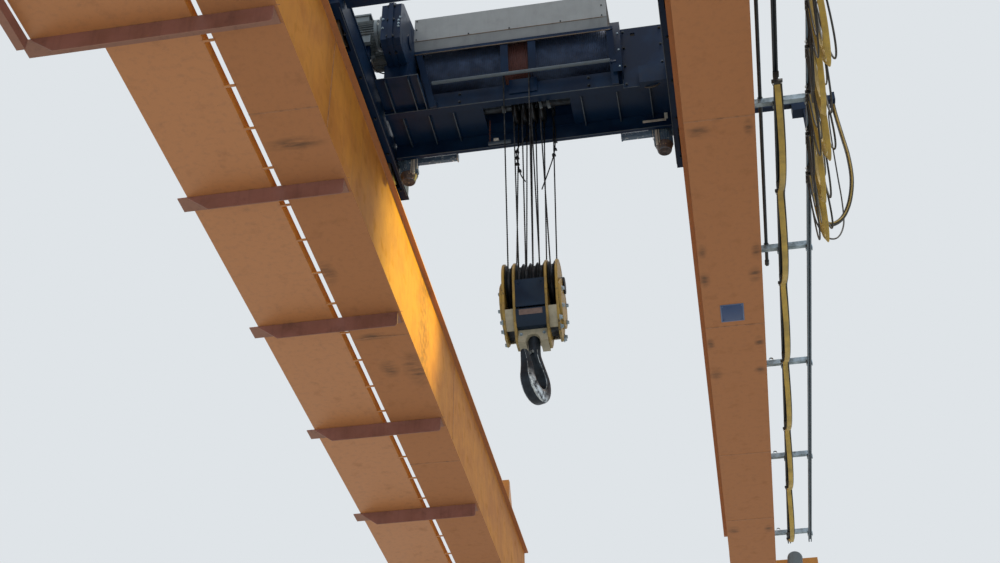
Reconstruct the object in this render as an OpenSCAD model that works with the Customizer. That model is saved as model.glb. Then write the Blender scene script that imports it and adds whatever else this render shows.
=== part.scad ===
// Double girder overhead travelling crane with an open winch trolley,
// a walkway along one girder and a cable festoon along the other.
// X runs across the girders, Y along them, Z up. The origin is the middle
// of the crane at the height of the runway rail heads. All sizes are in mm.

/* [Crane] */
// Distance between the two runway rails
span = 12800; // [11000:100:16000]
// Distance between the centre lines of the two girders
gauge = 3492; // [3400:10:3800]

/* [Girders] */
// Height of the girder webs
web_h = 1080; // [900:10:1300]
// Width of the bottom flange
low_flange_w = 584; // [520:2:640]
// Width of the top flange
top_flange_w = 672; // [640:2:760]
// Thickness of both flanges
flange_t = 15; // [10:1:25]
// Thickness of the webs
web_t = 10; // [6:1:16]
// How far the bottom flange runs past each web
web_inset = 10; // [6:1:20]
// Height of the girder seats above the rail heads
seat_z = 480; // [420:10:600]
// Length of the level seat at each girder end
seat_l = 700; // [550:10:900]
// Length of the slope that leads up to the seat
slope_l = 650; // [450:10:900]
// How far the girder runs past the runway rail
girder_over = 250; // [180:10:350]
// Distance between the diaphragms inside a girder
bay = 2000; // [1500:50:2500]

/* [Trolley rails] */
// Width and height of the trolley rails
rail_s = 50; // [40:5:60]
// Distance from the crane's middle to each trolley rail
rail_x = 1470; // [1450:5:1560]
// Distance from the runway rail to the face of an end stop
stop_y = 1330; // [1000:10:1600]
// Height of an end stop above the girder
stop_h = 330; // [280:10:420]

/* [End carriages] */
// Width of an end carriage beam
carriage_w = 320; // [280:10:400]
// Height of the carriage beam above the rail heads at its underside
carriage_z = 130; // [90:10:170]
// Distance from the crane's middle to each runway wheel
wheel_x = 2300; // [2200:10:2500]
// Diameter of a runway wheel's tread
wheel_d = 400; // [315:5:420]
// Width of a runway wheel's tread
tread_w = 70; // [60:5:90]
// Length of the beam past each runway wheel
carriage_over = 330; // [290:10:420]
// Diameter of a buffer
buffer_d = 160; // [120:10:200]
// Length of a buffer
buffer_l = 150; // [100:10:200]

/* [Walkway] */
// Clear gap between the girder and the walkway deck
deck_gap = 85; // [60:5:120]
// Width of the walkway deck
deck_w = 772; // [650:2:900]
// Thickness of the walkway plate
deck_t = 6; // [4:1:10]
// Height of the toe plates
toe_h = 110; // [80:5:150]
// Distance from each runway rail to the nearest bracket
bracket_end = 1400; // [1200:10:1700]
// Number of walkway brackets
bracket_n = 6; // [4:1:6]
// Depth of a bracket's upright leg
bracket_h = 165; // [120:5:200]
// Width of a bracket's level leg
bracket_w = 180; // [120:5:220]
// Thickness of a bracket
bracket_t = 10; // [8:1:16]
// How much wider the landing at the near end is
landing_w = 530; // [300:10:700]
// Height of the handrail above the deck
rail_h = 1100; // [1000:10:1200]
// Diameter of the handrail tube
tube_d = 42; // [33:1:50]
// Number of handrail posts along the walkway
post_n = 10; // [9:1:12]

/* [Festoon] */
// Length of the arms that hold the cable rails
arm_l = 480; // [440:10:560]
// Height of the arms above the bottom of the girder
arm_z = 250; // [200:10:400]
// Size of the arm's square tube
arm_s = 50; // [40:5:60]
// Size of a cable rail
crail_s = 40; // [30:2:50]
// Distance from the crane's middle to the inner cable rail
crail_in_x = 2235; // [2200:5:2300]
// Distance from the crane's middle to the outer cable rail
crail_out_x = 2500; // [2450:5:2560]
// Distance from the right girder's web to the conduit
conduit_gap = 82; // [75:1:120]
// Diameter of the conduit
conduit_d = 32; // [20:1:40]
// Distance between the bunched cable cars
car_pitch = 510; // [460:10:560]
// Width of the flat cables
cable_w = 60; // [40:5:80]
// Depth of the bunched cable loops
loop_h = 860; // [600:10:1100]
// Thickness of a flat cable
cable_t = 12; // [8:1:16]
// Distance from the near end of the inner rail to the first hanger
hang_near = 1810; // [1500:10:2100]
// Distance from the last hanger to the far end of the inner rail
hang_far = 322; // [200:2:500]
// How deep the cable hangs between two hangers
hang_sag = 270; // [150:10:350]

/* [Trolley] */
// Gap between the trolley and the near end stops
trolley_gap = 1100; // [1000:10:1500]
// Length of the trolley's side beams
trolley_l = 2790; // [2650:10:2850]
// Width of a side beam
side_w = 210; // [200:5:230]
// Height of a side beam
side_h = 320; // [300:10:360]
// Gap between the girder's top and the side beams
side_gap = 95; // [85:5:120]
// Diameter of a trolley wheel's tread
twheel_d = 315; // [280:5:330]
// Distance between the trolley's wheels along a side
twheel_base = 1900; // [1700:10:2000]
// Width of the first cross beam
cross_w = 140; // [100:10:180]
// Length of the machinery deck along the girders
mdeck_l = 420; // [400:10:440]
// Distance from the far cross beam to the travel drives
drive_gap = 110; // [105:5:160]
// Reach of the bar on the left travel drive
bar_left = 480; // [400:10:520]
// Reach of the bar on the right travel drive
bar_right = 390; // [320:10:450]
// Diameter of a travel drive's motor
drive_d = 180; // [150:5:200]

/* [Hoist] */
// Diameter of the rope drum
drum_d = 500; // [440:10:560]
// Length of the rope drum
drum_l = 1800; // [1700:10:1830]
// Distance between two turns of rope on the drum
rope_pitch = 18; // [17:1:24]
// Width of the gearbox
gear_w = 210; // [180:5:230]
// Diameter of the hoist motor
motor_d = 300; // [260:10:330]
// Length of the hoist motor
motor_l = 480; // [400:10:560]
// Diameter of a hoist rope
rope_d = 15; // [12:1:18]
// Height of the drum's axis
drum_z = 1985; // [1950:5:2050]
// Distance from the trolley's middle to the drum's axis
drum_y = 455; // [415:10:495]
// Distance from the trolley's middle to the hook block
fall_y = 505; // [495:5:525]
// Height of the upper sheaves' axis
upper_z = 1545; // [1530:5:1550]
// Diameter of the block's sheaves
sheave_d = 400; // [360:10:420]
// Diameter of the upper sheaves
upper_d = 320; // [280:10:340]
// Distance from the trolley's middle to the upper sheaves
upper_y = 555; // [550:5:575]

/* [Hook block] */
// Height of the block's sheave axis
block_z = -710; // [-900:10:-650]
// How far the block hangs to the side of the crane's middle
block_x0 = 15; // [0:1:30]
// Width across the outer side plates
block_w = 486; // [470:2:520]
// Clear width between the inner side plates
inner_w = 254; // [246:2:262]
// Thickness of a side plate
plate_t = 22; // [16:1:24]
// Distance from the crosshead down to the throat's centre
shank_l = 455; // [420:5:490]
// Radius of the hook's throat
throat_r = 95; // [80:5:110]
// Depth of the hook's bowl under the throat
bowl_t = 120; // [100:5:135]
// Width of the hook's bowl
bowl_w = 125; // [105:5:135]
// Angle of the hook about the upright axis
hook_turn = -111; // [-180:1:180]

/* [Hidden] */

orange = [0.80, 0.45, 0.18];
navy = [0.10, 0.11, 0.16];
black = [0.06, 0.06, 0.07];
steel = [0.55, 0.56, 0.58];
zinc = [0.66, 0.70, 0.72];
yellow = [0.85, 0.68, 0.20];
// running gap between a moving piece and what guides it
run = 6;
// gap between a soft or seated piece and its seat
seat = 0.3;
$fn = 48;

// girder heights
web_z = flange_t;
top_z = flange_t + web_h;
deck_z = top_z + flange_t;
railhead_z = deck_z + rail_s;
// girder stations along Y
end_y = span / 2 + girder_over;
seat_y = end_y - seat_l;
flat_y = seat_y - slope_l;
web_w = low_flange_w - 2 * web_inset;
gx = gauge / 2;
// end carriages
carriage_l = 2 * (wheel_x + carriage_over);
axle_z = wheel_d / 2;
// walkway
deck_in_x = -(gx + low_flange_w / 2 + deck_gap);
deck_out_x = deck_in_x - deck_w;
bracket_in_x = -(gx - low_flange_w / 2) - 25;
landing_out_x = deck_out_x - landing_w;
first_bracket = bracket_end - span / 2;
bracket_pitch = -2 * first_bracket / (bracket_n - 1);
walk_end = seat_y - 120;
// festoon
arm_x0 = gx + web_w / 2;
conduit_x = arm_x0 + conduit_gap;
crail_top = arm_z - seat;
crail_z = crail_top - crail_s;
// trolley
ty = stop_y - span / 2 + trolley_gap + trolley_l / 2;
side_z = deck_z + side_gap;
side_top = side_z + side_h;
tx = rail_x;
side_in = tx - side_w / 2;
twheel_z = railhead_z + twheel_d / 2 + seat;
fy = ty + fall_y;
uy = ty + upper_y;
dy = ty + drum_y;
// the bunched festoon: clamp, then five cars, the last one towed
n_cars = 5;
car_y0 = ty + 405 - n_cars * car_pitch;
function car_y(k) = car_y0 + k * car_pitch;

module box(x0, x1, y0, y1, z0, z1)
    translate([x0, y0, z0]) cube([x1 - x0, y1 - y0, z1 - z0]);

// a profile in Y and Z drawn out along X
module along_x(x0, x1, pts)
    translate([x0, 0, 0]) rotate([90, 0, 90]) linear_extrude(x1 - x0) polygon(pts);

// a round bar along X, along Y
module bar_x(x0, x1, y, z, d, fn = 48)
    translate([x0, y, z]) rotate([0, 90, 0]) cylinder(d = d, h = x1 - x0, $fn = fn);
module bar_y(y0, y1, x, z, d, fn = 48)
    translate([x, y1, z]) rotate([90, 0, 0]) cylinder(d = d, h = y1 - y0, $fn = fn);

// a bar along Y with round ends
module capsule_y(y0, y1, x, z, d) {
    bar_y(y0, y1, x, z, d);
    for (y = [y0, y1]) translate([x, y, z]) sphere(d = d, $fn = 24);
}
// a finned motor body drawn up Z from the origin
module finned(d, l, n) linear_extrude(l) {
    circle(d = d * 0.86);
    for (k = [0:n - 1]) rotate(360 * (k + 0.5) / n) translate([d * 0.4, -1.5]) square([d * 0.1, 3]);
}

module mirrored_x() { children(); mirror([1, 0, 0]) children(); }
module mirrored_y() { children(); mirror([0, 1, 0]) children(); }

// Girders

// underside of a girder from end to end, raised by dz
function soffit(dz) = [[-end_y, seat_z + dz], [-seat_y, seat_z + dz], [-flat_y, dz],
    [flat_y, dz], [seat_y, seat_z + dz], [end_y, seat_z + dz]];
function backwards(p) = [for (i = [len(p) - 1:-1:0]) p[i]];

module girder() {
    low = gx - low_flange_w / 2;
    // the diaphragms end in the middle of the webs
    dia_x = (web_w - web_t) / 2;
    color(orange) union() {
        along_x(low, low + low_flange_w,
            concat(soffit(0), backwards(soffit(flange_t))));
        box(gx - top_flange_w / 2, gx + top_flange_w / 2, -end_y, end_y, top_z, deck_z);
        for (x = [low + web_inset, low + low_flange_w - web_inset - web_t])
            along_x(x, x + web_t, concat(soffit(flange_t), [[end_y, top_z], [-end_y, top_z]]));
        for (y = [-end_y + 20, end_y - 20 - web_t])
            difference() {
                box(gx - dia_x, gx + dia_x, y, y + web_t, seat_z + flange_t, top_z);
                translate([gx, y - 1, (seat_z + top_z) / 2]) rotate([-90, 0, 0])
                    cylinder(d = 260, h = web_t + 2);
            }
        for (y = [-bay:bay:bay])
            difference() {
                box(gx - dia_x, gx + dia_x, y, y + web_t, web_z, top_z);
                translate([gx, y - 1, web_h / 2]) rotate([-90, 0, 0])
                    cylinder(d = 300, h = web_t + 2);
            }
    }
}
module girder_left() mirror([1, 0, 0]) girder();
module girder_right() girder();

module trolley_rails()
    color(steel) mirrored_x() along_x(tx - rail_s / 2, tx + rail_s / 2,
        [[-end_y + 30, deck_z], [end_y - 30, deck_z], [end_y - 30, railhead_z],
         [-end_y + 30, railhead_z]]);

module end_stops()
    color(orange) mirrored_x() mirrored_y() {
        y = span / 2 - stop_y;
        for (x = [tx - rail_s / 2 - run - 20, tx + rail_s / 2 + run])
            along_x(x, x + 20, [[y, deck_z], [y + 260, deck_z], [y + 70, deck_z + stop_h],
                [y, deck_z + stop_h]]);
        box(tx - rail_s / 2 - run - 20, tx + rail_s / 2 + run + 20, y, y + 20,
            railhead_z + 10, deck_z + stop_h);
    }

// End carriages

module end_carriage()
    color(orange) difference() {
        union() {
            box(-carriage_l / 2, carriage_l / 2, -carriage_w / 2, carriage_w / 2,
                carriage_z, seat_z);
            mirrored_x() for (s = [-1, 1])
                translate([wheel_x, s * carriage_w / 2, axle_z]) rotate([-90, 0, 0])
                    cylinder(d = 190, h = 30, center = true);
        }
        mirrored_x() {
            box(wheel_x - wheel_d / 2 - 40, wheel_x + wheel_d / 2 + 40,
                -carriage_w / 2 + 60, carriage_w / 2 - 60, carriage_z - 1,
                axle_z + wheel_d / 2 + 50);
            translate([wheel_x, 0, axle_z]) rotate([90, 0, 0])
                cylinder(d = 90 + 2 * seat, h = carriage_w - 30, center = true);
        }
    }
module end_carriage_near() translate([0, -span / 2, 0]) end_carriage();
module end_carriage_far() translate([0, span / 2, 0]) end_carriage();

// a flanged wheel on its axle, drawn along Y about the origin
module flanged_wheel(d, w, flange, axle_d, axle_l) {
    rotate([90, 0, 0]) {
        cylinder(d = d, h = w + 30, center = true);
        for (s = [-1, 1]) translate([0, 0, s * (w / 2 + 10)])
            cylinder(d = d + 2 * flange, h = 20, center = true);
        cylinder(d = axle_d, h = axle_l, center = true);
    }
}
module travel_wheels()
    color(steel) mirrored_x() mirrored_y() translate([wheel_x, span / 2, axle_z])
        flanged_wheel(wheel_d, tread_w, 22, 90, carriage_w - 32);

// a geared motor lying along +Y from the origin, its flange at y = 0
module gearmotor(d, l) {
    rotate([-90, 0, 0]) {
        cylinder(d = d * 1.25, h = l * 0.06);
        cylinder(d = d * 1.1, h = l * 0.3);
        cylinder(d = d * 0.8, h = l * 0.38);
        translate([0, 0, l * 0.36]) cylinder(d = d, h = l * 0.03);
        translate([0, 0, l * 0.38]) finned(d, l * 0.42, 28);
        translate([0, 0, l * 0.79]) cylinder(d = d * 0.98, h = l * 0.18);
        translate([0, 0, l * 0.96]) cylinder(d1 = d * 0.98, d2 = d * 0.86, h = l * 0.04);
    }
    translate([-d * 0.3, l * 0.45, d * 0.35]) cube([d * 0.6, l * 0.26, d * 0.28]);
}
module travel_drives()
    color(steel) mirrored_y() translate([wheel_x, span / 2 - carriage_w / 2 - 15 - seat, axle_z])
        mirror([0, 1, 0]) gearmotor(200, 620);

module buffers()
    color(black) mirrored_x() mirrored_y()
        translate([carriage_l / 2, span / 2, (carriage_z + seat_z) / 2]) rotate([0, 90, 0]) {
            cylinder(d = buffer_d + 60, h = 15);
            cylinder(d = buffer_d, h = buffer_l);
        }

// Walkway

module walkway_deck()
    color(orange) {
        box(deck_out_x, deck_in_x, -walk_end, walk_end, 0, deck_t);
        box(landing_out_x, deck_out_x - seat, -walk_end, first_bracket + bracket_w, 0, deck_t);
        // toe plates stand on the deck
        for (t = [[deck_in_x - deck_t, -walk_end, walk_end], [deck_out_x, first_bracket + bracket_w, walk_end],
                  [landing_out_x, -walk_end, first_bracket + bracket_w]])
            box(t[0], t[0] + deck_t, t[1], t[2], deck_t + seat, toe_h);
    }

// an angle whose upright leg is cut back at its outer end
module bracket(x_out, x_in) {
    r = 30;
    translate([0, bracket_t, 0]) rotate([90, 0, 0]) linear_extrude(bracket_t) polygon(concat(
        [[x_out, -bracket_t], [x_out, 0], [x_in, 0]],
        [for (a = [0:15:90]) [x_in - r + r * cos(a), -bracket_h + r - r * sin(a)]],
        [[x_out + 300, -bracket_h], [x_out + 90, -bracket_t]]));
    box(x_out, x_in, 0, bracket_w, -bracket_t, 0);
}
module walkway_brackets()
    color(orange) translate([0, 0, 0]) {
        for (k = [0:bracket_n - 1])
            translate([0, first_bracket + k * bracket_pitch, 0])
                bracket((k == 0 ? landing_out_x : deck_out_x) - 90, bracket_in_x);
        box(landing_out_x - 90, landing_out_x - 20, -walk_end, first_bracket, -110, 0);
        box(landing_out_x - 90, bracket_in_x, -walk_end, -walk_end + 80, -110, 0);
    }

module post(x, y) translate([x, y, deck_t + seat])
    cylinder(d = tube_d, h = rail_h - tube_d / 2 - deck_t - 2 * seat);
module handrail()
    color(orange) {
        xo = deck_out_x + deck_t + tube_d / 2 + seat;
        xl = landing_out_x + deck_t + tube_d / 2 + seat;
        y1 = first_bracket + bracket_w - tube_d / 2;
        y0 = -walk_end + tube_d / 2;
        y2 = walk_end - tube_d / 2;
        g = tube_d / 2 + seat;
        for (k = [0:post_n - 1]) post(xo, y1 + (y2 - y1) * k / (post_n - 1));
        for (y = [y0, y1]) post(xl, y);
        capsule_y(y1, y2, xo, rail_h, tube_d);
        capsule_y(y0, y1, xl, rail_h, tube_d);
        bar_x(xl + g, xo - g, y1, rail_h, tube_d);
        // the knee rail is a flat bar on the inside of the posts
        box(xo + g, xo + g + 8, y1 - 20, y2 + 20, rail_h / 2 - 25, rail_h / 2 + 25);
        box(xl + g, xl + g + 8, y0 - 20, y1 - g, rail_h / 2 - 25, rail_h / 2 + 25);
        box(xl + g + 8 + seat, xo - g, y1 - g - 8, y1 - g, rail_h / 2 - 25, rail_h / 2 + 25);
    }

// Cable rails along the right girder

module festoon_arms()
    color(zinc) for (k = [0:bracket_n - 1])
        translate([0, first_bracket + k * bracket_pitch, 0]) {
            box(arm_x0 + 10, arm_x0 + arm_l, -arm_s / 2, arm_s / 2, arm_z, arm_z + arm_s);
            box(arm_x0, arm_x0 + 10, -60, 60, arm_z - 50, arm_z + arm_s + 50);
        }

// an open channel with turned in lips, mouth down, drawn along Y
module c_rail(x, y0, y1, z)
    translate([x, y1, z]) rotate([90, 0, 0]) linear_extrude(y1 - y0) difference() {
        translate([-crail_s / 2, 0]) square(crail_s);
        translate([-crail_s / 2 + 3, 3]) square(crail_s - 6);
        translate([-7, -1]) square([14, 5]);
    }
rail_y1 = -first_bracket + 200;
module inner_cable_rail()
    color(black) c_rail(crail_in_x, -rail_y1, rail_y1, crail_z);
module outer_cable_rail()
    color(black) {
        c_rail(crail_out_x, -rail_y1, rail_y1, crail_z);
        translate([crail_out_x, car_y(0), crail_z - seat]) {
            box(-crail_s / 2, crail_s / 2, -40, 40, -14, 0);
            box(-3, 3, -45, 45, -90, -14);
            box(-45, 45, -32, 32, -130, -90);
        }
    }

module conduit()
    color(black) {
        bar_y(first_bracket - 200, -760, conduit_x, arm_z + arm_s + seat + conduit_d / 2, conduit_d);
        bar_y(-760, -690, conduit_x, arm_z + arm_s + seat + conduit_d / 2, conduit_d + 10, 6);
    }

// fixed hangers under the inner rail
hang_n = 7;
hang_y0 = hang_near - rail_y1;
hang_pitch = (2 * rail_y1 - hang_near - hang_far) / (hang_n - 1);
module cable_hangers()
    color(black) for (k = [0:hang_n - 1])
        translate([crail_in_x, hang_y0 + k * hang_pitch, crail_z - seat]) {
            box(-25, 25, -30, 30, -12, 0);
            along_x(-4, 4, [[-30, -12], [30, -12], [12, -80], [-12, -80]]);
            box(-45, 45, -18, 18, -88, -78);
        }

// a sagging run from y0 to y1 with sag s, as points in Y and Z below z
function sag(y0, y1, z, s, n) = [for (i = [0:n]) let (t = i / n)
    [y0 + (y1 - y0) * t, z - s * (1 - pow(2 * t - 1, 2))]];
function shifted(p, d) = [for (q = p) [q[0], q[1] - d]];
module hung_cable()
    color(yellow) for (k = [0:hang_n - 2])
        along_x(crail_in_x - cable_w / 2, crail_in_x + cable_w / 2,
            concat(sag(hang_y0 + k * hang_pitch, hang_y0 + (k + 1) * hang_pitch,
                       crail_z - 88.6, hang_sag, 12),
                backwards(shifted(sag(hang_y0 + k * hang_pitch, hang_y0 + (k + 1) * hang_pitch,
                       crail_z - 88.6, hang_sag, 12), 12))));

roller_d = 22;
// a cable car: a plate with rollers in the rail and a saddle below
module cable_car(y)
    color(black) translate([crail_out_x, y, crail_z]) {
        box(-3, 3, -45, 45, -90, crail_s / 2);
        for (s = [-1, 1]) bar_x(-12, 12, s * 28, 3 + roller_d / 2 + seat, roller_d);
        box(-16, 16, -38, 38, -70, -run);
        for (s = [-1, 1]) bar_x(-22, 22, s * 26, -22, 24);
        box(-38, 38, -10, 10, -64, -44);
        // the saddle over which the cables bend
        intersection() {
            bar_x(-cable_w / 2 - 12, cable_w / 2 + 12, 0, -130, 88);
            box(-60, 60, -50, 50, -130, -80);
        }
    }
module cable_car_1() cable_car(car_y(1));
module cable_car_2() cable_car(car_y(2));
module cable_car_3() cable_car(car_y(3));
module cable_car_4() cable_car(car_y(4));
module cable_car_5() {
    cable_car(car_y(5));
    color(black) {
        box(crail_out_x - 20, crail_out_x + 20, car_y(5) - 50, car_y(5) + 50,
            crail_z - 84, crail_z - 66);
    }
}

// one hanging loop of flat cables from the saddle at y to the next one
loop_z = crail_z - 130 - seat;
loop_gap = 8;
function loop_line(w, h, n) = [for (i = [0:n]) let (a = 180 * i / n)
    [-w * cos(a), -h * pow(sin(a), 0.7)]];
module cable_loop(k) {
    y0 = car_y(k - 1) + loop_gap;
    y1 = car_y(k) - loop_gap;
    w = (y1 - y0) / 2;
    // three flat cables, one inside the other, the widest outermost
    for (c = [[0, 0, cable_w], [1.2 * cable_t, 90, cable_w * 0.8], [2.4 * cable_t, 200, cable_w * 0.5]])
        color(yellow) translate([0, (y0 + y1) / 2, loop_z])
            along_x(crail_out_x - c[2] / 2, crail_out_x + c[2] / 2,
                concat(loop_line(w - c[0], loop_h - c[1], 16),
                    backwards(loop_line(w - c[0] - cable_t, loop_h - c[1] - cable_t, 16))));
}
module cable_loop_1() cable_loop(1);
module cable_loop_2() cable_loop(2);
module cable_loop_3() cable_loop(3);
module cable_loop_4() cable_loop(4);
module cable_loop_5() cable_loop(5);

// Trolley

// the cross beams: where each starts, measured from the trolley's middle, its width,
// and how much deeper than the others it is
cross_y = [[-trolley_l / 2 + 150, cross_w, 0], [upper_y - mdeck_l / 2 - 80, 80, 0],
    [upper_y + mdeck_l / 2, 40, 115]];
cross_z = side_z + 170;
cross_top = side_top + 40;
module trolley_frame()
    color(navy) {
        mirrored_x() difference() {
            union() {
                box(side_in, side_in + side_w, ty - trolley_l / 2 + 60, ty + trolley_l / 2 - 60,
                    side_z, side_top);
                for (z = [side_z, side_top - 15])
                    box(side_in - 12, side_in + side_w + 12, ty - trolley_l / 2 + 60,
                        ty + trolley_l / 2 - 60, z, z + 15);
                for (s = [-1, 1]) translate([tx - 55, ty + s * (trolley_l / 2 - 30) - 30, side_z + 90])
                    cube([110, 60, 140]);
            }
            for (s = [-1, 1]) {
                y = ty + s * twheel_base / 2;
                box(tx - 70, tx + 70, y - twheel_d / 2 - 35, y + twheel_d / 2 + 35,
                    side_z - 1, side_top - 20);
                bar_x(side_in + 20, side_in + side_w - 20, y, twheel_z, 70 + 2 * seat);
            }
        }
        // cross beams between the side beams
        for (c = cross_y)
            box(-side_in + 12 + seat, side_in - 12 - seat, ty + c[0], ty + c[0] + c[1],
                cross_z - c[2], cross_top);
        // a switch box on the left side beam
        box(-side_in - 185, -side_in - 5, dy - 770, dy - 710, side_top - 1, side_top + 205);
        // cheeks that carry the upper sheaves
        difference() {
            mirrored_x() box(430, 460, uy - mdeck_l / 2 - 1, uy + mdeck_l / 2 + 1,
                cross_z + 53 + seat, upper_z + 80);
            bar_x(-461, 461, uy, upper_z, 80 + 2 * seat);
        }
    }

module machinery_deck() {
    gear_deck();
    color(navy) difference() {
        y0 = uy - mdeck_l / 2 + seat;
        y1 = uy + mdeck_l / 2 - seat;
        union() {
            box(-side_in + 12 + seat, side_in - 12 - seat, y0, y1, cross_z + 45, cross_z + 53);
            for (x = [-1190, -940, -700, 530, 870, 1180])
                box(x - 4, x + 4, y0, y1, cross_z, cross_z + 46);
        }
        box(-420, 420, y0 + 10, y1 - 10, cross_z - 1, cross_top);
    }
}

// the plate that carries the gearbox, on the near side of the beam under the drum
gear_deck_y0 = dy - 620;
module gear_deck()
    color(navy) {
        y1 = uy - mdeck_l / 2 - 80 - seat;
        x1 = gear_x1 + 100;
        box(-side_in + 12 + seat, x1, gear_deck_y0, y1, cross_z + 45, cross_z + 53);
        for (x = [gear_x0 - 10, gear_x1, x1 - 8])
            box(x, x + 8, gear_deck_y0, y1, cross_z, cross_z + 46);
    }

module trolley_wheels()
    color(steel) mirrored_x() for (s = [-1, 1])
        translate([tx, ty + s * twheel_base / 2, twheel_z]) rotate([0, 0, 90])
            flanged_wheel(twheel_d, 60, 18, 70, side_w - 42);

gear_x1 = -(drum_l / 2 + 130);
gear_x0 = gear_x1 - gear_w;
gear_y0 = dy - 920;
gear_y1 = dy + 350;
// points moved outwards from the middle m by d
function grown(pts, m, d) = [for (p = pts) p + d * (p - m) / norm(p - m)];
module gearbox()
    color(navy) {
        side = [[gear_y0, cross_top + 60], [gear_y0 + 60, cross_top + 20], [dy - 470, cross_top + 20],
            [dy - 190, cross_top + 215], [gear_y1 - 60, cross_top + 215],
            [gear_y1, cross_top + 255], [gear_y1, drum_z + 120], [gear_y1 - 120, drum_z + 290],
            [dy - 250, drum_z + 320], [gear_y0 + 80, drum_z + 180], [gear_y0, drum_z + 100]];
        along_x(gear_x0 + 12, gear_x1 - 12, side);
        // the bolted flange round the casing, and the feet
        along_x(gear_x0 + gear_w / 2 - 22, gear_x0 + gear_w / 2 + 22, grown(side, [dy - 285, drum_z - 50], 22));
        box(gear_x0 - 20, gear_x1 + 5, gear_deck_y0 + 10, dy - 480, cross_z + 53 + seat, cross_top + 40);
        box(gear_x0 + 20, gear_x1 - 20, gear_y1 - 290, gear_y1 - 110, cross_z + 53 + seat, cross_top + 235);
        // bearing covers
        bar_x(gear_x0, gear_x1 + 20, dy, drum_z, 240);
        bar_x(gear_x0, gear_x1 - 12, dy - 330, drum_z - 20, 200);
        bar_x(gear_x0 + 20, gear_x1, dy - 560, drum_z - 60, 150);
        box(gear_x0 + 30, gear_x1 - 40, dy - 420, dy - 180, drum_z + 250, drum_z + 330);
    }

module hoist_motor()
    color(steel) translate([gear_x0 + 12 - seat, dy - 730, drum_z - 90]) {
        d = motor_d;
        bar_x(-24, 0, 0, 0, d + 50);
        bar_x(-60, -20, 0, 0, d * 0.8);
        bar_x(-86, -56, 0, 0, d);
        translate([-motor_l * 0.82, 0, 0]) rotate([0, 90, 0]) finned(d, motor_l * 0.82 - 80, 36);
        bar_x(-motor_l, -motor_l * 0.81, 0, 0, d * 0.98);
        bar_x(-motor_l - 90, -motor_l + 1, 0, 0, d * 0.75);
        box(-motor_l * 0.72, -motor_l * 0.32, -85, 85, d * 0.4, d * 0.72);
        box(-motor_l * 0.76, -motor_l * 0.28, -95, 95, d * 0.66, d * 0.73);
        for (y = [-110, 70]) box(-motor_l * 0.75, -motor_l * 0.25, y, y + 40, -d * 0.62, -d * 0.3);
        // the smaller motor beside it, on its own bearing cover
        translate([-12, 400, 70]) {
            bar_x(-18, 0, 0, 0, 225);
            translate([-200, 0, 0]) rotate([0, 90, 0]) finned(205, 185, 28);
            bar_x(-222, -199, 0, 0, 190);
        }
    }

// the shell's outline: open grooves in the middle, rope laid on both sides
groove = 4;
bare_x0 = -200;
bare_x1 = 75;
drum_turns = floor(drum_l / rope_pitch);
drum_x0 = gear_x1 + 50 + seat;
function turn(k) = let (x = k * rope_pitch, m = drum_x0 + x + rope_pitch / 2, r = drum_d / 2)
    m > bare_x0 && m < bare_x1
    ? [[r, x + 1], [r - groove, x + rope_pitch / 2 - 3], [r - groove, x + rope_pitch / 2 + 3],
       [r, x + rope_pitch - 1]]
    : [[r + 1, x + 1], [r + rope_d * 0.55, x + rope_pitch / 2 - 4],
       [r + rope_d * 0.55, x + rope_pitch / 2 + 4], [r + 1, x + rope_pitch - 1]];
module rope_drum() {
    color([0.33, 0.27, 0.25]) translate([drum_x0, dy, drum_z]) rotate([0, 90, 0]) rotate_extrude($fn = 96)
        polygon(concat([[drum_d / 2 - 30, 0], [drum_d / 2, 0]],
            [for (k = [0:drum_turns - 1]) each turn(k)],
            [[drum_d / 2, drum_l], [drum_d / 2 - 30, drum_l]]));
    color(navy) {
        bar_x(drum_x0 - 30, drum_x0, dy, drum_z, drum_d + 60);
        bar_x(drum_x0 + drum_l, drum_x0 + drum_l + 20, dy, drum_z, drum_d + 60);
        bar_x(drum_x0 + drum_l + 20, drum_x0 + drum_l + 80, dy, drum_z, 120);
    }
}
drum_x1 = drum_x0 + drum_l + 80;
// near face of the cross beam under the drum, and the line of the rope guard
beam_y = uy - mdeck_l / 2 - 80 - seat;
guard_y = dy - 303;
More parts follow.
